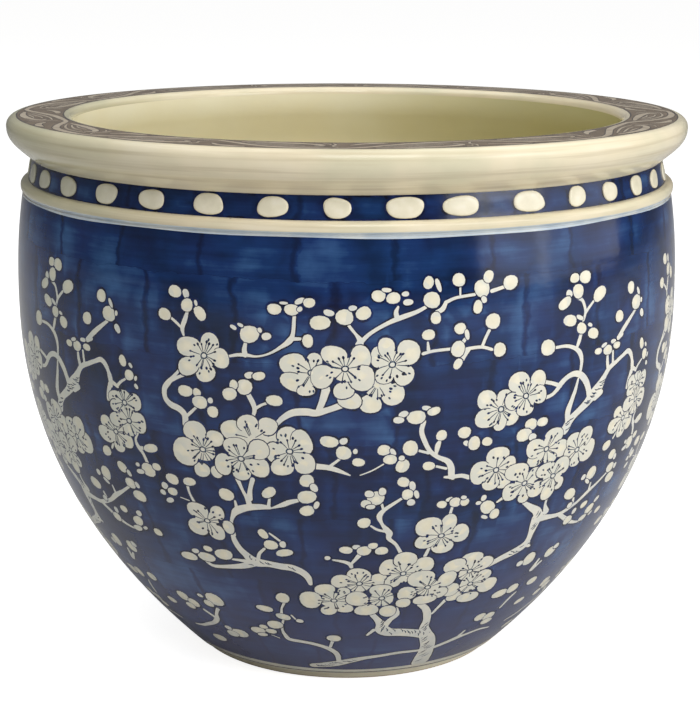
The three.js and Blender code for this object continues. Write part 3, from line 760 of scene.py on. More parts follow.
# the thick wood, which is hatched like bark
trunks = [
    [(37.3, 112.5, 7), (38.1, 107.5, 6), (39.5, 103.6, 5), (41.3, 99.6, 6), (42.6, 95.5, 8),
     (44.2, 91, 7.5), (45.2, 86.4, 4.4), (46.4, 82, 3.6), (48.6, 79, 2.8)],
    [(-20.1, 170.5, 2.6), (-20, 175, 3.8), (-19.4, 180.5, 4.4), (-18.4, 185, 5.4), (-17, 189.8, 8),
     (-14.4, 190.6, 5.6), (-12, 191.8, 5.6), (-10, 192.4, 5.8), (-8.2, 195.4, 5.4), (-7.2, 199.4, 4.6),
     (-6.8, 205, 2.6)],
    [(-17.2, 191, 6), (-19.6, 194.4, 4.8), (-23, 196.8, 3.4), (-26, 198, 2.8), (-27.2, 195.6, 2.6),
     (-27.6, 193, 3)],
    [(28.4, 198.5, 4.4), (31, 194.4, 5.4), (34, 190.8, 6.4), (36, 187, 6)],
    [(35, 189.6, 6), (35.9, 185, 5), (36, 180, 4.8), (36, 173, 7.5), (36.1, 167.5, 9.5)],
    [(36.4, 168.5, 8), (35.4, 163, 6.2), (33.6, 159, 4.4), (31.6, 154.4, 2.4)],
    [(-10, 294.4, 5.6), (-7, 293, 6.6), (-3, 290.4, 7.6), (1, 286.6, 6.4), (5, 283.2, 4.8),
     (10, 280.8, 3.6), (15, 278.8, 3.4), (21, 279, 3)],
    [(24.1, 296.4, 12.5), (23.7, 288, 12.5), (23.3, 280, 11), (22.6, 272, 10.6), (21.4, 264.4, 10.6),
     (19.9, 257.4, 9), (18.9, 250, 6.4), (18.8, 243, 5.2), (18.3, 236, 5.4), (17.3, 230, 4.8),
     (15.8, 225.4, 4.4)],
    [(20, 259.6, 8), (17, 256, 9), (13.4, 253.6, 9), (10.2, 252.2, 9.4), (8.6, 248.6, 9.6),
     (8, 243, 6.6), (7, 238, 4.4), (5.8, 233, 4)],
]


def offsetOnWall(turn, down, across, below):
    # a point so many millimetres right of and below another on the bowl's wall
    return turn + math.degrees(across / wallRadiusAt(down + below)), down + below


def roundShape(turn, down, wide, tall, lean=0, grow=0.0, corners=16):
    # an oval drawn by hand: slightly square, with a wavering edge; grow makes its outline
    shape = []
    seed = turn * 7.3 + down * 3.1
    c, s = math.cos(math.radians(lean)), math.sin(math.radians(lean))
    for i in range(corners):
        a = math.tau * i / corners
        waver = 1 + 0.04 * math.sin(2 * a + seed) + 0.028 * math.sin(3 * a + seed * 1.7)
        extra = grow * (1 + 0.3 * math.sin(a + seed * 0.9))
        x = (wide / 2 * waver + extra) * math.copysign(abs(math.cos(a)) ** 0.92, math.cos(a))
        y = (tall / 2 * waver + extra) * math.copysign(abs(math.sin(a)) ** 0.92, math.sin(a))
        shape.append(offsetOnWall(turn, down, x * c - y * s, x * s + y * c))
    return shape


def smoothPath(path, steps=4):
    # a smooth curve through the given points, thickness carried along
    p = np.array(path, float)
    p = np.vstack([2 * p[0] - p[1], p, 2 * p[-1] - p[-2]])
    out = []
    for i in range(1, len(p) - 2):
        a, b, c, d = p[i - 1:i + 3]
        for t in np.arange(steps) / steps:
            out.append(0.5 * (2 * b + (c - a) * t + (2 * a - 5 * b + 4 * c - d) * t * t
                              + (3 * b - a - 3 * c + d) * t ** 3))
    return np.array([*out, p[-2]])


def strokeShape(path, grow=0.0, radiusAt=None, steps=4, capCorners=3):
    # the outline of one brush stroke with round ends; path is (turn, down, thick)
    radiusAt = radiusAt or wallRadiusAt
    p = smoothPath(path, steps)
    scale = np.array([math.radians(radiusAt(down)) for down in p[:, 1]])
    x = np.concatenate([[0], np.cumsum(np.diff(p[:, 0]) * (scale[1:] + scale[:-1]) / 2)])
    run = np.gradient(np.stack([x, p[:, 1]], 1), axis=0)
    run /= np.linalg.norm(run, axis=1)[:, None] + 1e-9
    half = np.maximum(p[:, 2] / 2, 0.1) + grow
    side = np.stack([-run[:, 1], run[:, 0]], 1) * half[:, None]
    caps = [math.pi * k / (capCorners + 1) for k in range(1, capCorners + 1)]
    offsets = [(i, side[i]) for i in range(len(p))]
    offsets += [(-1, side[-1] * math.cos(a) + run[-1] * half[-1] * math.sin(a)) for a in caps]
    offsets += [(i, -side[i]) for i in reversed(range(len(p)))]
    offsets += [(0, -side[0] * math.cos(a) - run[0] * half[0] * math.sin(a)) for a in caps]
    return [(p[i][0] + move[0] / scale[i], p[i][1] + move[1]) for i, move in offsets]


def wavy(turn, middle, swing, often, shift=0):
    return middle + swing * math.sin(math.radians(turn * often + shift))


def lineRound(down, otherSide):
    # a line right round the ring, straight on one side and brushed on the other
    around = range(-180, 181, 3)
    return [(turn, otherSide(turn)) for turn in around] + [(turn, down) for turn in reversed(around)]


stamenSettings = {
    "apart": 21, "sway": 0.25, "reach": (6, 8.6), "bend": 0.25, "drawn": 0.75,
    "stroke": [(0.3, 0.35), (0.7, 0.5), (1, 0.6)],   # (share of its reach, thick)
    "dot": (1.1, 1.5), "looseShare": 0.4, "looseReach": (8.6, 10.2), "looseDot": (1.1, 1.7),
    "ring": (4.2, 3.8), "ringInside": (2.6, 2.3),
}


def stamens(heart, fan, brush):
    # fine bent strokes out of a ringed heart, each with a dot, and a few loose dots on the petals
    s = stamenSettings
    shapes = []
    first, last = fan or (0, 360)
    count = round((last - first) / s["apart"])

    def outFrom(a, reach):
        return offsetOnWall(*heart, math.sin(a) * reach, -math.cos(a) * reach)

    for i in range(count):
        a = math.radians(first + (i + 0.5 + brush.uniform(-s["sway"], s["sway"])) * (last - first) / count)
        reach = brush.uniform(*s["reach"])
        bend = brush.uniform(-s["bend"], s["bend"])
        spots = [(*outFrom(a + bend * share, reach * share), thick) for share, thick in s["stroke"]]
        if brush.random() < s["drawn"]:
            shapes.append(("ink", strokeShape(spots, steps=1, capCorners=1)))
        dot = brush.uniform(*s["dot"])
        shapes.append(("line", roundShape(*spots[-1][:2], dot, dot * 1.4, math.degrees(a), corners=6)))
    for _ in range(round(count * s["looseShare"])):
        a = math.radians(brush.uniform(first, last))
        spot = outFrom(a, brush.uniform(*s["looseReach"]))
        shapes.append(("ink", roundShape(*spot, *s["looseDot"], math.degrees(a), corners=6)))
    if fan is None:
        shapes.append(("ink", roundShape(*heart, *s["ring"], corners=12)))
        shapes.append(("twig", roundShape(*heart, *s["ringInside"], corners=10)))
    return shapes


barkSettings = {
    "thinnest": 5, "skipped": 0.35, "start": (-0.42, 0.1), "slip": 1, "long": 0.36, "curl": 2.4,
    "stroke": [(0, 0.3), (0.5, 0.7), (1, 0.3)],   # (share of its length, thick)
}


def barkStrokes(path, brush):
    # short curved hatching over the thick parts of a trunk
    s = barkSettings
    shapes = []
    p = smoothPath(path, 6)
    for before, here in zip(p, p[1:]):
        if here[2] < s["thinnest"] or brush.random() < s["skipped"]:
            continue
        scale = math.radians(wallRadiusAt(here[1]))
        run = np.array([(here[0] - before[0]) * scale, here[1] - before[1]])
        run /= np.linalg.norm(run) + 1e-9
        across = np.array([-run[1], run[0]])
        start = across * here[2] * brush.uniform(*s["start"]) + run * brush.uniform(-s["slip"], s["slip"])
        stroke = []
        for share, thick in s["stroke"]:
            at = start + across * here[2] * s["long"] * share + run * (s["curl"] * share * share)
            stroke.append((*offsetOnWall(here[0], here[1], at[0], at[1]), thick))
        shapes.append(("ink", strokeShape(stroke, steps=2, capCorners=1)))
    return shapes


wallSettings = {
    # pulled curves of the outer face, (radius, height): foot to belly, belly to shoulder
    "lowerCurve": [(95.4, 0), (174.4, 76), (199.4, 147), (199.4, 219)],
    "upperCurve": [(199.4, 219), (199.4, 238.5), (198.9, 257.8), (194.9, 282.3)],
    "thickness": 13, "belt": 152, "footTop": 6, "rowHeight": 8,
    "skyLine": 0.9,               # pale line left at the shoulder
    "skyWaves": [(0.25, 13), (0.35, 5)],   # (swing, times round)
    "washEnd": 298.6,             # the wash stops here, measured down the wall from the shoulder
    "washWave": (0.6, 4, 70),     # (swing, times round, shift)
    "ironLine": (302.6, 303.7),
}
lowerCurve, upperCurve = bezier(wallSettings["lowerCurve"], 160), bezier(wallSettings["upperCurve"], 60)
outerWall = np.vstack([lowerCurve, upperCurve[1:]])[::-1]
outerRun = np.gradient(outerWall, axis=0)
outerRun /= np.linalg.norm(outerRun, axis=1)[:, None]
innerWall = outerWall - np.stack([-outerRun[:, 1], outerRun[:, 0]], 1) * wallSettings["thickness"]
wallDowns = np.concatenate([[0], np.cumsum(np.linalg.norm(np.diff(outerWall, axis=0), axis=1))])


def wallRadiusAt(down):
    return float(np.interp(down, wallDowns, outerWall[:, 0]))


def cutOutline(outline, high, low):
    # the stretch of an outline between two heights, both ends included
    heights = outline[:, 1]
    between = outline[(heights < high - 0.05) & (heights > low + 0.05)]
    ends = [[np.interp(h, heights[::-1], outline[::-1, 0]), h] for h in (high, low)]
    return np.vstack([ends[0], between, ends[1]])


def wallParts(high, low):
    outer = cutOutline(outerWall, high, low)
    inner = cutOutline(innerWall, high, low)[::-1]
    return [(np.array([inner[-1], outer[0]]), "clay", 20), (outer, "wash", wallSettings["rowHeight"]),
            (np.array([outer[-1], inner[0]]), "clay", 20), (inner, "inside", 16)]


panelSettings = {
    "step": 93.2,            # the branch is repeated at this turn; the last repeat is squeezed to close
    "middle": 2.1,
    "lineThick": 1.05, "innerLine": 0.5, "twigLine": 0.8, "twigThick": 0.87, "petalSpread": 1.02,
    "heart": 14,             # the petals run together inside this circle
    "petalArea": 22,         # smaller ovals are sepals, painted as the twigs are
    "wander": 0.2, "wanderBack": 0.25,   # degrees a repeated flower strays, on the sides and the back
    "bare": (-80, -62, 75),  # nothing was painted between these turns, down to this far
}


def paintPanel(turn, squeeze, loose, brush):
    s = panelSettings

    def settle(t, d, move=(0, 0)):
        return turn + s["middle"] + (t - s["middle"]) * squeeze + move[0], d + move[1]

    def wander():
        # a repeat is never quite the same, so each of its flowers wanders a little
        return brush.uniform(-loose, loose), brush.uniform(-loose, loose) * 3

    def leftBare(t, d):
        return s["bare"][0] < t < s["bare"][1] and d < s["bare"][2]

    lines, wood, small, flowers, calm = [], [], [], [], []
    for number, path in enumerate(twigs + trunks):
        path = [(*settle(t, d), thick * s["twigThick"]) for t, d, thick in path]
        if leftBare(*path[-1][:2]):
            continue
        lines.append(("line", strokeShape(path, s["twigLine"])))
        wood.append(("twig", strokeShape(path)))
        if number >= len(twigs):
            wood += barkStrokes(path, brush)
    for t, d, wide, tall, lean in buds:
        spot = settle(t, d, wander())
        if leftBare(*spot):
            continue
        finish = "petal" if wide * tall > s["petalArea"] else "twig"
        lines.append(("line", roundShape(*spot, wide, tall, lean, s["lineThick"], 12)))
        small.append(("line", roundShape(*spot, wide, tall, lean, s["innerLine"], 12)))
        small.append((finish, roundShape(*spot, wide, tall, lean, 0, 12)))
        calm.append(spot)
    for heart, fan, petals in blossoms:
        move = wander()
        middle = settle(*heart, move)
        for t, d, wide, tall, lean in petals:
            spot = settle(t, d, move)
            wide, tall = wide * s["petalSpread"], tall * s["petalSpread"]
            lines.append(("line", roundShape(*spot, wide, tall, lean, s["lineThick"])))
            flowers.append(("line", roundShape(*spot, wide, tall, lean, s["innerLine"])))
            flowers.append(("petal", roundShape(*spot, wide, tall, lean)))
            calm.append(spot)
        flowers.append(("petal", roundShape(*middle, s["heart"], s["heart"], corners=14)))
        calm.append(middle)
        flowers += stamens(middle, fan, brush)
    return lines, wood, small, flowers, calm


def paintWall():
    # all the dark outlines go on first, then the wood, the buds and the flowers of every panel
    brush = random.Random(7)
    s, w = panelSettings, wallSettings
    closing = (360 - 3 * s["step"]) / s["step"]
    layers = [[], [], [], []]
    calm = []
    for turn, squeeze, loose in ((180, closing, s["wanderBack"]), (-s["step"], 1, s["wander"]),
                                 (s["step"], 1, s["wander"]), (0, 1, 0)):
        *made, quiet = paintPanel(turn, squeeze, loose, brush)
        for layer, shapes in zip(layers, made):
            layer += shapes
        calm += quiet
    shapes = [shape for layer in layers for shape in layer]

    def skyEdge(turn):
        fine, coarse = w["skyWaves"]
        return wavy(turn, wavy(turn, w["skyLine"], *fine), *coarse)

    shapes.append(("skyLine", lineRound(0, skyEdge)))
    shapes.append(("petal", lineRound(wallDowns[-1], lambda turn: wavy(turn, w["washEnd"], *w["washWave"]))))
    shapes.append(("ironLine", lineRound(w["ironLine"][1], lambda turn: w["ironLine"][0])))
    print("stage: wall drawn, %d brush shapes" % len(shapes))
    return shapes, calm


def makeWalls():
    w = wallSettings
    shapes, calm = paintWall()
    beltDown = float(np.interp(-w["belt"], -outerWall[:, 1], wallDowns))
    upper = paintRing("painted_upper_wall", wallParts(outerWall[0][1], w["belt"]), 1, 0, shapes, calm)
    lower = paintRing("painted_lower_wall", wallParts(w["belt"], w["footTop"]), 1, beltDown, shapes, calm)
    finishPiece(upper, "cobalt_wash_glaze", "upper_wall")
    finishPiece(lower, "cobalt_wash_glaze", "lower_wall")


makeWalls()
print("stage: wall thrown and painted")


# the neck band and its bosses; the potter set the bosses by eye, so drift is how far each one strays
# in degrees and width how wide it is, listed from the left round the front to the right, and the
# same again round the back
bandSettings = {
    "low": (191.2, 289.8), "top": (188.7, 302.5), "bedding": 190.6, "inner": 171.5, "bottom": 282.3,
    "bossCount": 36, "frontTurn": -1.5, "frontPlace": 8, "bossHeight": 10.6, "relief": 0.9, "sunk": 0.25,
    "pullIn": (1.2, 289.5), "pullOut": (4, 295.6),   # the inner face's pulled curve, off its two ends
    "outline": 1.3, "blotShare": 0.55, "blotWide": (2.2, 4), "blotTall": 2.4,
    "blotIn": (0.2, 1.8), "blotOff": 1.2,    # how far in from the boss's end, and off the band's border
    "border": (0.8, 0.3, 17),                # the dark line along each border: (wide, swing, times round)
    "drift": [-1, -0.5, -2, -2, -1, -1, -0.5, 0, 0, 0.5, -0.5, 1.5, 1.5, 0, -1, -2, -2, -1],
    "width": [15, 16, 17, 17.5, 17.5, 16, 17.5, 16, 14, 20.5, 19, 20, 13, 13, 14.5, 14, 14, 15],
}


def listBosses():
    s = bandSettings
    for number in range(s["bossCount"]):
        listed = number % len(s["drift"])
        turn = s["frontTurn"] + (number - s["frontPlace"]) * 360 / s["bossCount"] + s["drift"][listed]
        yield number + 1, turn, s["width"][listed]


def bossEdge(number, a, wide, tall, grow=0.0):
    # hand-made ovals, a little square, no two alike
    waver = 1 + 0.05 * math.sin(2 * a + number * 2.4) + 0.04 * math.sin(3 * a + number * 5)
    x = (wide / 2 * waver + grow) * math.copysign(abs(math.cos(a)) ** 0.85, math.cos(a))
    y = (tall / 2 * min(waver, 1.03) + grow) * math.copysign(abs(math.sin(a)) ** 0.85, math.sin(a))
    return x, y


def bossShape(finish, number, turn, down, wide, tall, corners, grow=0.0):
    edge = [bossEdge(number, math.tau * i / corners, wide, tall, grow) for i in range(corners)]
    return finish, [(turn + math.degrees(x / bandSettings["bedding"]), down - y) for x, y in edge]


def makeNeckBand():
    s = bandSettings
    inside = float(np.interp(-s["bottom"], -innerWall[:, 1], innerWall[:, 0]))
    top, low = s["top"], s["low"]
    bed = [low, (s["bedding"], low[1]), (s["bedding"], s["bottom"]), (inside, s["bottom"])]
    inner = bezier([bed[-1], (inside - s["pullIn"][0], s["pullIn"][1]),
                    (s["inner"] + s["pullOut"][0], s["pullOut"][1]), (s["inner"], top[1])], 8)
    parts = [([(s["inner"], top[1]), top], "clay", 20), ([top, low], "wash", 4), (bed, "clay", None),
             (inner, "inside", None)]
    length = math.dist(top, low)
    middle = length / 2
    brush = random.Random(5)
    shapes = []
    for number, turn, wide in listBosses():
        shapes.append(bossShape("line", number, turn, middle, wide, s["bossHeight"], 20, s["outline"]))
        for side, level in ((-1, -1), (-1, 1), (1, -1), (1, 1)):
            # the brush stops short of the oval and leaves a dark blot in the corner
            if brush.random() < s["blotShare"]:
                across = side * (wide / 2 - brush.uniform(*s["blotIn"]))
                spot = turn + math.degrees(across / s["bedding"])
                shapes.append(bossShape("line", number + side, spot, middle + level * (middle - s["blotOff"]),
                                        brush.uniform(*s["blotWide"]), s["blotTall"], 8))
    for edge, inward in ((0, 1), (length, -1)):
        shapes.append(("line", lineRound(edge, lambda turn: edge + inward * wavy(turn, *s["border"]))))
    band = paintRing("painted_neck_band", parts, 1, 0, shapes, turnStep=2.5)
    finishPiece(band, "band_glaze", "neck_band")


makeNeckBand()


def mergeAndTurnOut(piece):
    bpy.ops.object.select_all(action="DESELECT")
    piece.select_set(True)
    bpy.context.view_layer.objects.active = piece
    bpy.ops.object.mode_set(mode="EDIT")
    bpy.ops.mesh.select_all(action="SELECT")
    bpy.ops.mesh.remove_doubles(threshold=0.02 * mm)
    bpy.ops.mesh.normals_make_consistent(inside=False)
    bpy.ops.object.mode_set(mode="OBJECT")


# one boss of unit size: (inset, rise) of each step from its side to its middle
buttonSettings = {"corners": 28, "side": 0.45,
                  "pillow": [(0.05, 0.3), (0.1, 0.17), (0.17, 0.08), (0.25, 0), (0.3, 0)]}


def makeButton():
    # a disc, flat on its back, inset and raised to a soft pillow
    s = buttonSettings
    bpy.ops.object.select_all(action="DESELECT")
    bpy.ops.mesh.primitive_circle_add(vertices=s["corners"], radius=1, fill_type="NGON")
    bpy.ops.object.mode_set(mode="EDIT")
    bpy.ops.mesh.select_all(action="SELECT")
    bpy.ops.mesh.extrude_region_move(TRANSFORM_OT_translate={"value": (0, 0, s["side"])})
    for inset, rise in s["pillow"]:
        bpy.ops.mesh.inset(thickness=inset)
        bpy.ops.transform.translate(value=(0, 0, rise))
    bpy.ops.mesh.poke()
    bpy.ops.object.mode_set(mode="OBJECT")
    return bpy.context.object


def makeBosses():
    s = bandSettings
    button = makeButton()
    middle = (s["low"][1] + s["top"][1]) / 2
    lean = (s["top"][0] - s["low"][0]) / (s["top"][1] - s["low"][1])
    for number, turn, wide in listBosses():
        boss = button.copy()
        boss.data = button.data.copy()
        boss.name = "boss_button_%02d" % number
        bpy.context.scene.collection.objects.link(boss)
        for vertex in boss.data.vertices:
            reach = math.hypot(vertex.co.x, vertex.co.y)
            x, y = bossEdge(number, math.atan2(vertex.co.y, vertex.co.x), wide, s["bossHeight"])
            height = middle + y * reach
            # its back is sunk a little into the band
            proud = max(0, vertex.co.z) * (s["relief"] + s["sunk"]) - s["sunk"]
            radius = s["low"][0] + lean * (height - s["low"][1]) + proud
            vertex.co = place(turn + math.degrees(x * reach / s["bedding"]), radius, height)
        boss.data.materials.append(finishes["petal"])
        mergeAndTurnOut(boss)
        bpy.ops.object.shade_smooth()
        finishPiece(boss, "boss_glaze", "boss_%02d" % number)
    bpy.data.objects.remove(button)


makeBosses()
print("stage: neck band and bosses")


def spinRing(name, section, rules, rest, closed=True):
    # a section drawn point by point in edit mode, then spun round the axis; rules are
    # (finish, test of a face's radius and height), the first that holds gives the face its finish
    bpy.ops.object.select_all(action="DESELECT")
    bpy.ops.mesh.primitive_plane_add(size=1 * mm)
    ring = bpy.context.object
    ring.name = name
    bpy.ops.object.mode_set(mode="EDIT")
    bpy.ops.mesh.select_all(action="SELECT")
    bpy.ops.mesh.merge(type="CENTER")
    bpy.ops.transform.translate(value=(section[0][0] * mm, 0, section[0][1] * mm))
    for before, here in zip(section, section[1:]):
        step = ((here[0] - before[0]) * mm, 0, (here[1] - before[1]) * mm)
        bpy.ops.mesh.extrude_region_move(TRANSFORM_OT_translate={"value": step})
    if closed:
        bpy.ops.mesh.select_all(action="DESELECT")
        bpy.ops.object.mode_set(mode="OBJECT")
        ring.data.vertices[0].select = True
        ring.data.vertices[len(section) - 1].select = True
        bpy.ops.object.mode_set(mode="EDIT")
        bpy.ops.mesh.edge_face_add()
    bpy.ops.mesh.select_all(action="SELECT")
    bpy.ops.mesh.spin(steps=180, angle=math.tau, center=(0, 0, 0), axis=(0, 0, 1))
    bpy.ops.object.mode_set(mode="OBJECT")
    mergeAndTurnOut(ring)
    bpy.ops.object.shade_smooth_by_angle(angle=math.radians(35))
    for finish in [rest] + [finish for finish, _ in rules]:
        ring.data.materials.append(finishes[finish])
    for face in ring.data.polygons:
        spot = (math.hypot(face.center.x, face.center.y) / mm, face.center.z / mm)
        face.material_index = next((i + 1 for i, (_, holds) in enumerate(rules) if holds(*spot)), 0)
    return ring


mouldingSettings = {
    "inner": 190.6, "bottom": 282.3, "top": 289.8, "crest": 195.9, "pool": 2.2,
    # the bead's two roundings, how far in from its bottom and top they are centred, and how far back
    # from the crest its lower and its upper edge lie
    "lowRounding": 2.6, "highRounding": 3, "centred": 3.2, "lowEdge": 1.4, "highEdge": 3.8,
}


def makeMoulding():
    s = mouldingSettings
    low, high, centred = s["lowRounding"], s["highRounding"], s["centred"]
    section = [(s["inner"], s["bottom"]), (s["crest"] - s["lowEdge"], s["bottom"]),
               *arc((s["crest"] - low, s["bottom"] + centred), low, -62, 0, 5),
               *arc((s["crest"] - high, s["top"] - centred), high, 8, 78, 7),
               (s["crest"] - s["highEdge"], s["top"]), (s["inner"], s["top"])]

    def poolsHere(radius, height):
        return height < s["bottom"] + s["pool"] and radius > s["inner"] + 1

    moulding = spinRing("cream_moulding", section, [("skyLine", poolsHere)], "cream")
    finishPiece(moulding, "cream_glaze", "neck_moulding")


footSettings = {"radius": 95.4, "flare": 1, "inner": 78, "height": 6, "rounding": 1.5}


def makeFootRing():
    s = footSettings
    low = s["rounding"]
    section = [(s["inner"] + low, 0), (s["radius"] - low, 0),
               *arc((s["radius"] - low, low), low, -72, 0, 4),
               (s["radius"] + s["flare"], s["height"]), (s["inner"], s["height"]),
               *arc((s["inner"] + low, low), low, 180, 252, 4)]

    def glazedHere(radius, height):
        return radius > s["radius"] - 0.2 and height > low * 0.6

    foot = spinRing("unglazed_foot", section, [("petal", glazedHere)], "clay")
    finishPiece(foot, "bare_clay", "foot_ring")


floorSettings = {
    "underside": 6, "top": 19, "clayUpTo": 11,
    "dish": [(4, 1.1), (12, 1.9), (46, 2.2)], "middle": 2.4,   # (in from the edge, how much lower)
}


def makeBaseFloor():
    # the bowl's inner floor, slightly dished, seen from above; bare clay below
    s = floorSettings
    lowest = innerWall[-1]
    edge = float(np.interp(-s["top"], -innerWall[:, 1], innerWall[:, 0]))
    section = [(0, s["underside"]), (lowest[0], s["underside"]), (lowest[0], lowest[1]), (edge, s["top"])]
    section += [(edge - inward, s["top"] - drop) for inward, drop in s["dish"]]
    section.append((0, s["top"] - s["middle"]))

    def glazedHere(radius, height):
        return height > s["clayUpTo"]

    floor = spinRing("bowl_floor", section, [("inside", glazedHere)], "clay", closed=False)
    finishPiece(floor, "cream_glaze", "base_floor")


makeMoulding()
makeFootRing()
makeBaseFloor()
print("stage: moulding, foot ring and floor")


rimSettings = {
    "radius": 203, "top": 327, "edgeRounding": 5.8, "opening": 164.5, "lipRounding": 4.5, "underside": 302.5,
    "neck": 188.7, "inner": 171.5, "throat": (167.5, 309),
    # where the pulled curves of the flare, the throat and the inner lip bend
    "underPull": ((203, 313.2), (198, 310.6)), "throatPull": ((170, 305.1), (168.3, 307.4)),
    "lipPull": ((165.9, 312.2), (164.5, 316)),
    "halfWaves": 16, "middle": 183.2, "boldLine": 0.7, "fineLine": 0.45,
    "border": (0.95, 0.3, 9),   # the dark line along each border: (wide, swing, times round)
    # half a wave of the running scroll: the stem swings from the inner to the outer border, and the
    # lobe it leaves is filled with curls that follow it; each point is a share of the half wave along
    # the rim, millimetres outward from the middle, and thickness
    "bold": [
        [(-0.5, -10.4, 2.6), (-0.38, -6.4, 3.4), (-0.2, 1.4, 3.6), (-0.02, 7.4, 3.9), (0.2, 10.2, 3.7),
         (0.4, 10.8, 2.8), (0.5, 10.4, 2.5)],
        [(-0.3, -9.4, 1.7), (-0.1, -9.8, 3.4), (0.1, -8.6, 4.2), (0.26, -5.6, 3.7), (0.33, -1.4, 2.8),
         (0.28, 1.6, 1.5)],
        [(-0.47, 2.4, 1.3), (-0.4, 7, 3), (-0.3, 9.9, 4), (-0.2, 10.4, 2)],
    ],
    "fine": [
        [(-0.24, -5.2, 0.9), (-0.1, -0.4, 1.3), (0.05, 3.4, 1.4), (0.2, 5, 1.2), (0.34, 4.6, 0.8)],
        [(-0.18, -6.6, 0.8), (-0.05, -3, 1.2), (0.08, -0.2, 1.2), (0.2, 0.6, 0.8)],
        [(-0.08, -6.6, 0.8), (0.04, -4.6, 1.2), (0.15, -4.2, 0.8)],
        [(0.4, -9.4, 0.9), (0.42, -4, 1.3), (0.4, 1.4, 1.2), (0.44, 6.4, 0.8)],
        [(0.32, -9.8, 0.8), (0.37, -7.4, 1), (0.385, -4.6, 0.8)],
    ],
}


def makeRim():
    s = rimSettings
    flatFrom, flatTo = s["opening"] + s["lipRounding"], s["radius"] - s["edgeRounding"]
    edge = arc((flatTo, s["top"] - s["edgeRounding"]), s["edgeRounding"], 90, 0, 14)
    under = bezier([edge[-1], *s["underPull"], (s["neck"], s["underside"])], 26)
    throat = bezier([(s["inner"], s["underside"]), *s["throatPull"], s["throat"]], 6)
    lipLevel = s["top"] - s["lipRounding"]
    inner = bezier([s["throat"], *s["lipPull"], (s["opening"], lipLevel)], 10)
    lip = arc((flatFrom, lipLevel), s["lipRounding"], 180, 90, 10)
    parts = [(np.vstack([edge, under[1:]]), "cream", None), ([under[-1], throat[0]], "clay", 30),
             (np.vstack([throat[:-1], inner]), "inside", None), (lip, "cream", None),
             ([(flatFrom, s["top"]), (flatTo, s["top"])], "rimGround", 4)]
    outlines, slips = [], []
    step = 360 / s["halfWaves"]

    def paintStroke(stroke, number, finish, grow, layer, steps, capCorners):
        flip = 1 if number % 2 else -1
        middle = -180 + (number + 0.5) * step
        path = [(middle + share * step, s["middle"] + out * flip, thick) for share, out, thick in stroke]
        # on the flat top a point's radius takes the place of its distance down
        layer.append((finish, strokeShape(path, grow, lambda radius: radius, steps, capCorners)))

    for number in range(s["halfWaves"]):
        for stroke in s["bold"]:
            paintStroke(stroke, number, "ironLine", s["boldLine"], outlines, 4, 3)
            paintStroke(stroke, number, "rimScroll", 0, slips, 4, 3)
        for stroke in s["fine"]:
            paintStroke(stroke, number, "ironLine", s["fineLine"], slips, 3, 1)
            paintStroke(stroke, number, "rimScroll", 0, slips, 3, 1)
    for radius, inward in ((flatFrom, 1), (flatTo, -1)):
        border = lineRound(radius, lambda turn: radius + inward * wavy(turn, *s["border"]))
        outlines.append(("ironLine", border))
    rim = paintRing("painted_rim", parts, 4, flatFrom, outlines + slips, turnStep=2)
    finishPiece(rim, "rim_glaze", "rim_flange")


makeRim()
print("stage: rim turned and painted")


# the stage's places and sizes are metres, its sensor millimetres
stageSettings = {
    "longSide": 723, "focalLength": 1832, "axisOffset": 2.48,   # pixels of the photograph
    "cameraPlace": (0, -1.1118, 0.435), "cameraTilt": 76.65, "cameraRoll": -0.15, "sensor": 36,
    "world": 0.17,
    # the floor's glow is only seen by the camera
    "floorSize": 24, "floorDrop": 0.0002, "floorGrey": "dad9d7", "floorGlow": 0.86,
    # lamp: (place, what it points at, width and height, watts)
    "lamps": {
        "overhead softbox": ((0, -0.2, 2.4), (0, 0, 0), (3.4, 3.4), 46),
        "key softbox": ((1.9, -1.7, 1.5), (0, 0, 0.2), (1.5, 1.5), 21),
        "front softbox": ((0.3, -1.7, 2.1), (0, 0, 0.25), (1.2, 1.2), 17),
        "low softbox": ((1.8, -1.25, 0.6), (0, 0, 0.22), (1, 0.95), 5.5),
        "side softbox": ((2.2, -0.3, 0.6), (0, 0, 0.2), (1.5, 1), 6.5),
    },
}


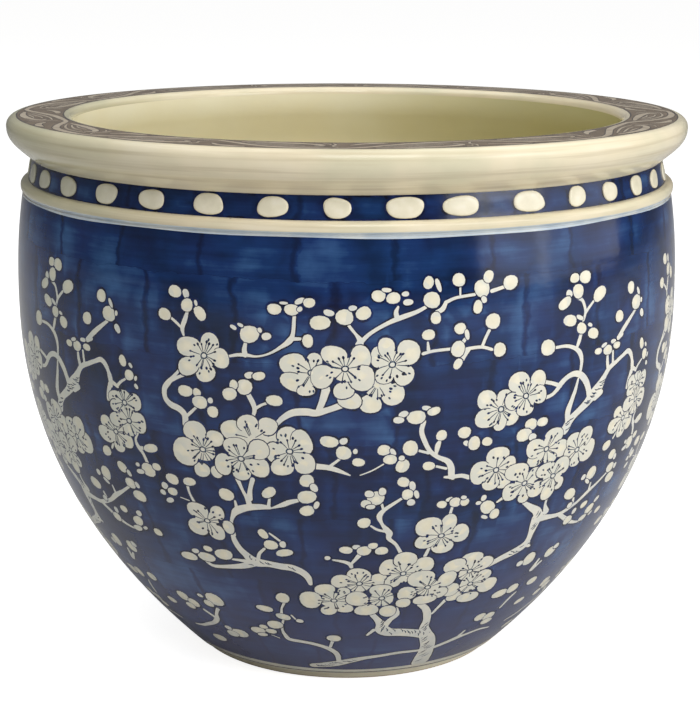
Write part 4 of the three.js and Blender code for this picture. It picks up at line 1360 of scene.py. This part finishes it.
def studioPaper(name, code, glow):
    # grey paper that looks white to the camera and still takes the shadow
    material = bpy.data.materials.new(name)
    material.use_nodes = True
    shader = material.node_tree.nodes["Principled BSDF"]
    shader.inputs["Roughness"].default_value = 0.9
    shader.inputs["Specular IOR Level"].default_value = 0
    shader.inputs["Base Color"].default_value = hexColor(code)
    shader.inputs["Emission Color"].default_value = (1, 1, 1, 1)
    seen = addNode(material, "LightPath").outputs["Is Camera Ray"]
    lit = addNode(material, "Math", {"operation": "MULTIPLY", 1: glow}, {0: seen})
    material.node_tree.links.new(lit.outputs[0], shader.inputs["Emission Strength"])
    return material


def addLamp(name, spot, aim, size, watts):
    bpy.ops.object.light_add(type="AREA", location=spot)
    lamp = bpy.context.object
    lamp.name = name
    lamp.data.shape = "RECTANGLE"
    lamp.data.size, lamp.data.size_y = size
    lamp.data.energy = watts
    direction = Vector(aim) - Vector(spot)
    lamp.rotation_euler = direction.to_track_quat("-Z", "Y").to_euler()


def buildStage():
    s = stageSettings
    scene = bpy.context.scene
    scene.view_settings.view_transform = "Standard"
    bpy.ops.mesh.primitive_plane_add(size=s["floorSize"], location=(0, 0, -s["floorDrop"]))
    ground = bpy.context.object
    ground.name = "studio_floor"
    ground.data.materials.append(studioPaper("studio floor paper", s["floorGrey"], s["floorGlow"]))
    world = bpy.data.worlds.new("plain studio")
    scene.world = world
    world.use_nodes = True
    air = world.node_tree.nodes["Background"]
    air.inputs["Color"].default_value = (1, 1, 1, 1)
    seen = addNode(world, "LightPath").outputs["Is Camera Ray"]
    strength = addNode(world, "MapRange", {"To Min": s["world"], "To Max": 1}, {"Value": seen})
    world.node_tree.links.new(strength.outputs[0], air.inputs["Strength"])
    for name, lamp in s["lamps"].items():
        addLamp(name, *lamp)

    bpy.ops.object.camera_add(location=s["cameraPlace"],
                              rotation=(math.radians(s["cameraTilt"]), math.radians(s["cameraRoll"]), 0))
    camera = bpy.context.object
    camera.data.sensor_width = s["sensor"]
    camera.data.lens = s["focalLength"] / s["longSide"] * s["sensor"]
    camera.data.shift_x = s["axisOffset"] / s["longSide"]
    scene.camera = camera


buildStage()
print("stage: floor, light and camera set")
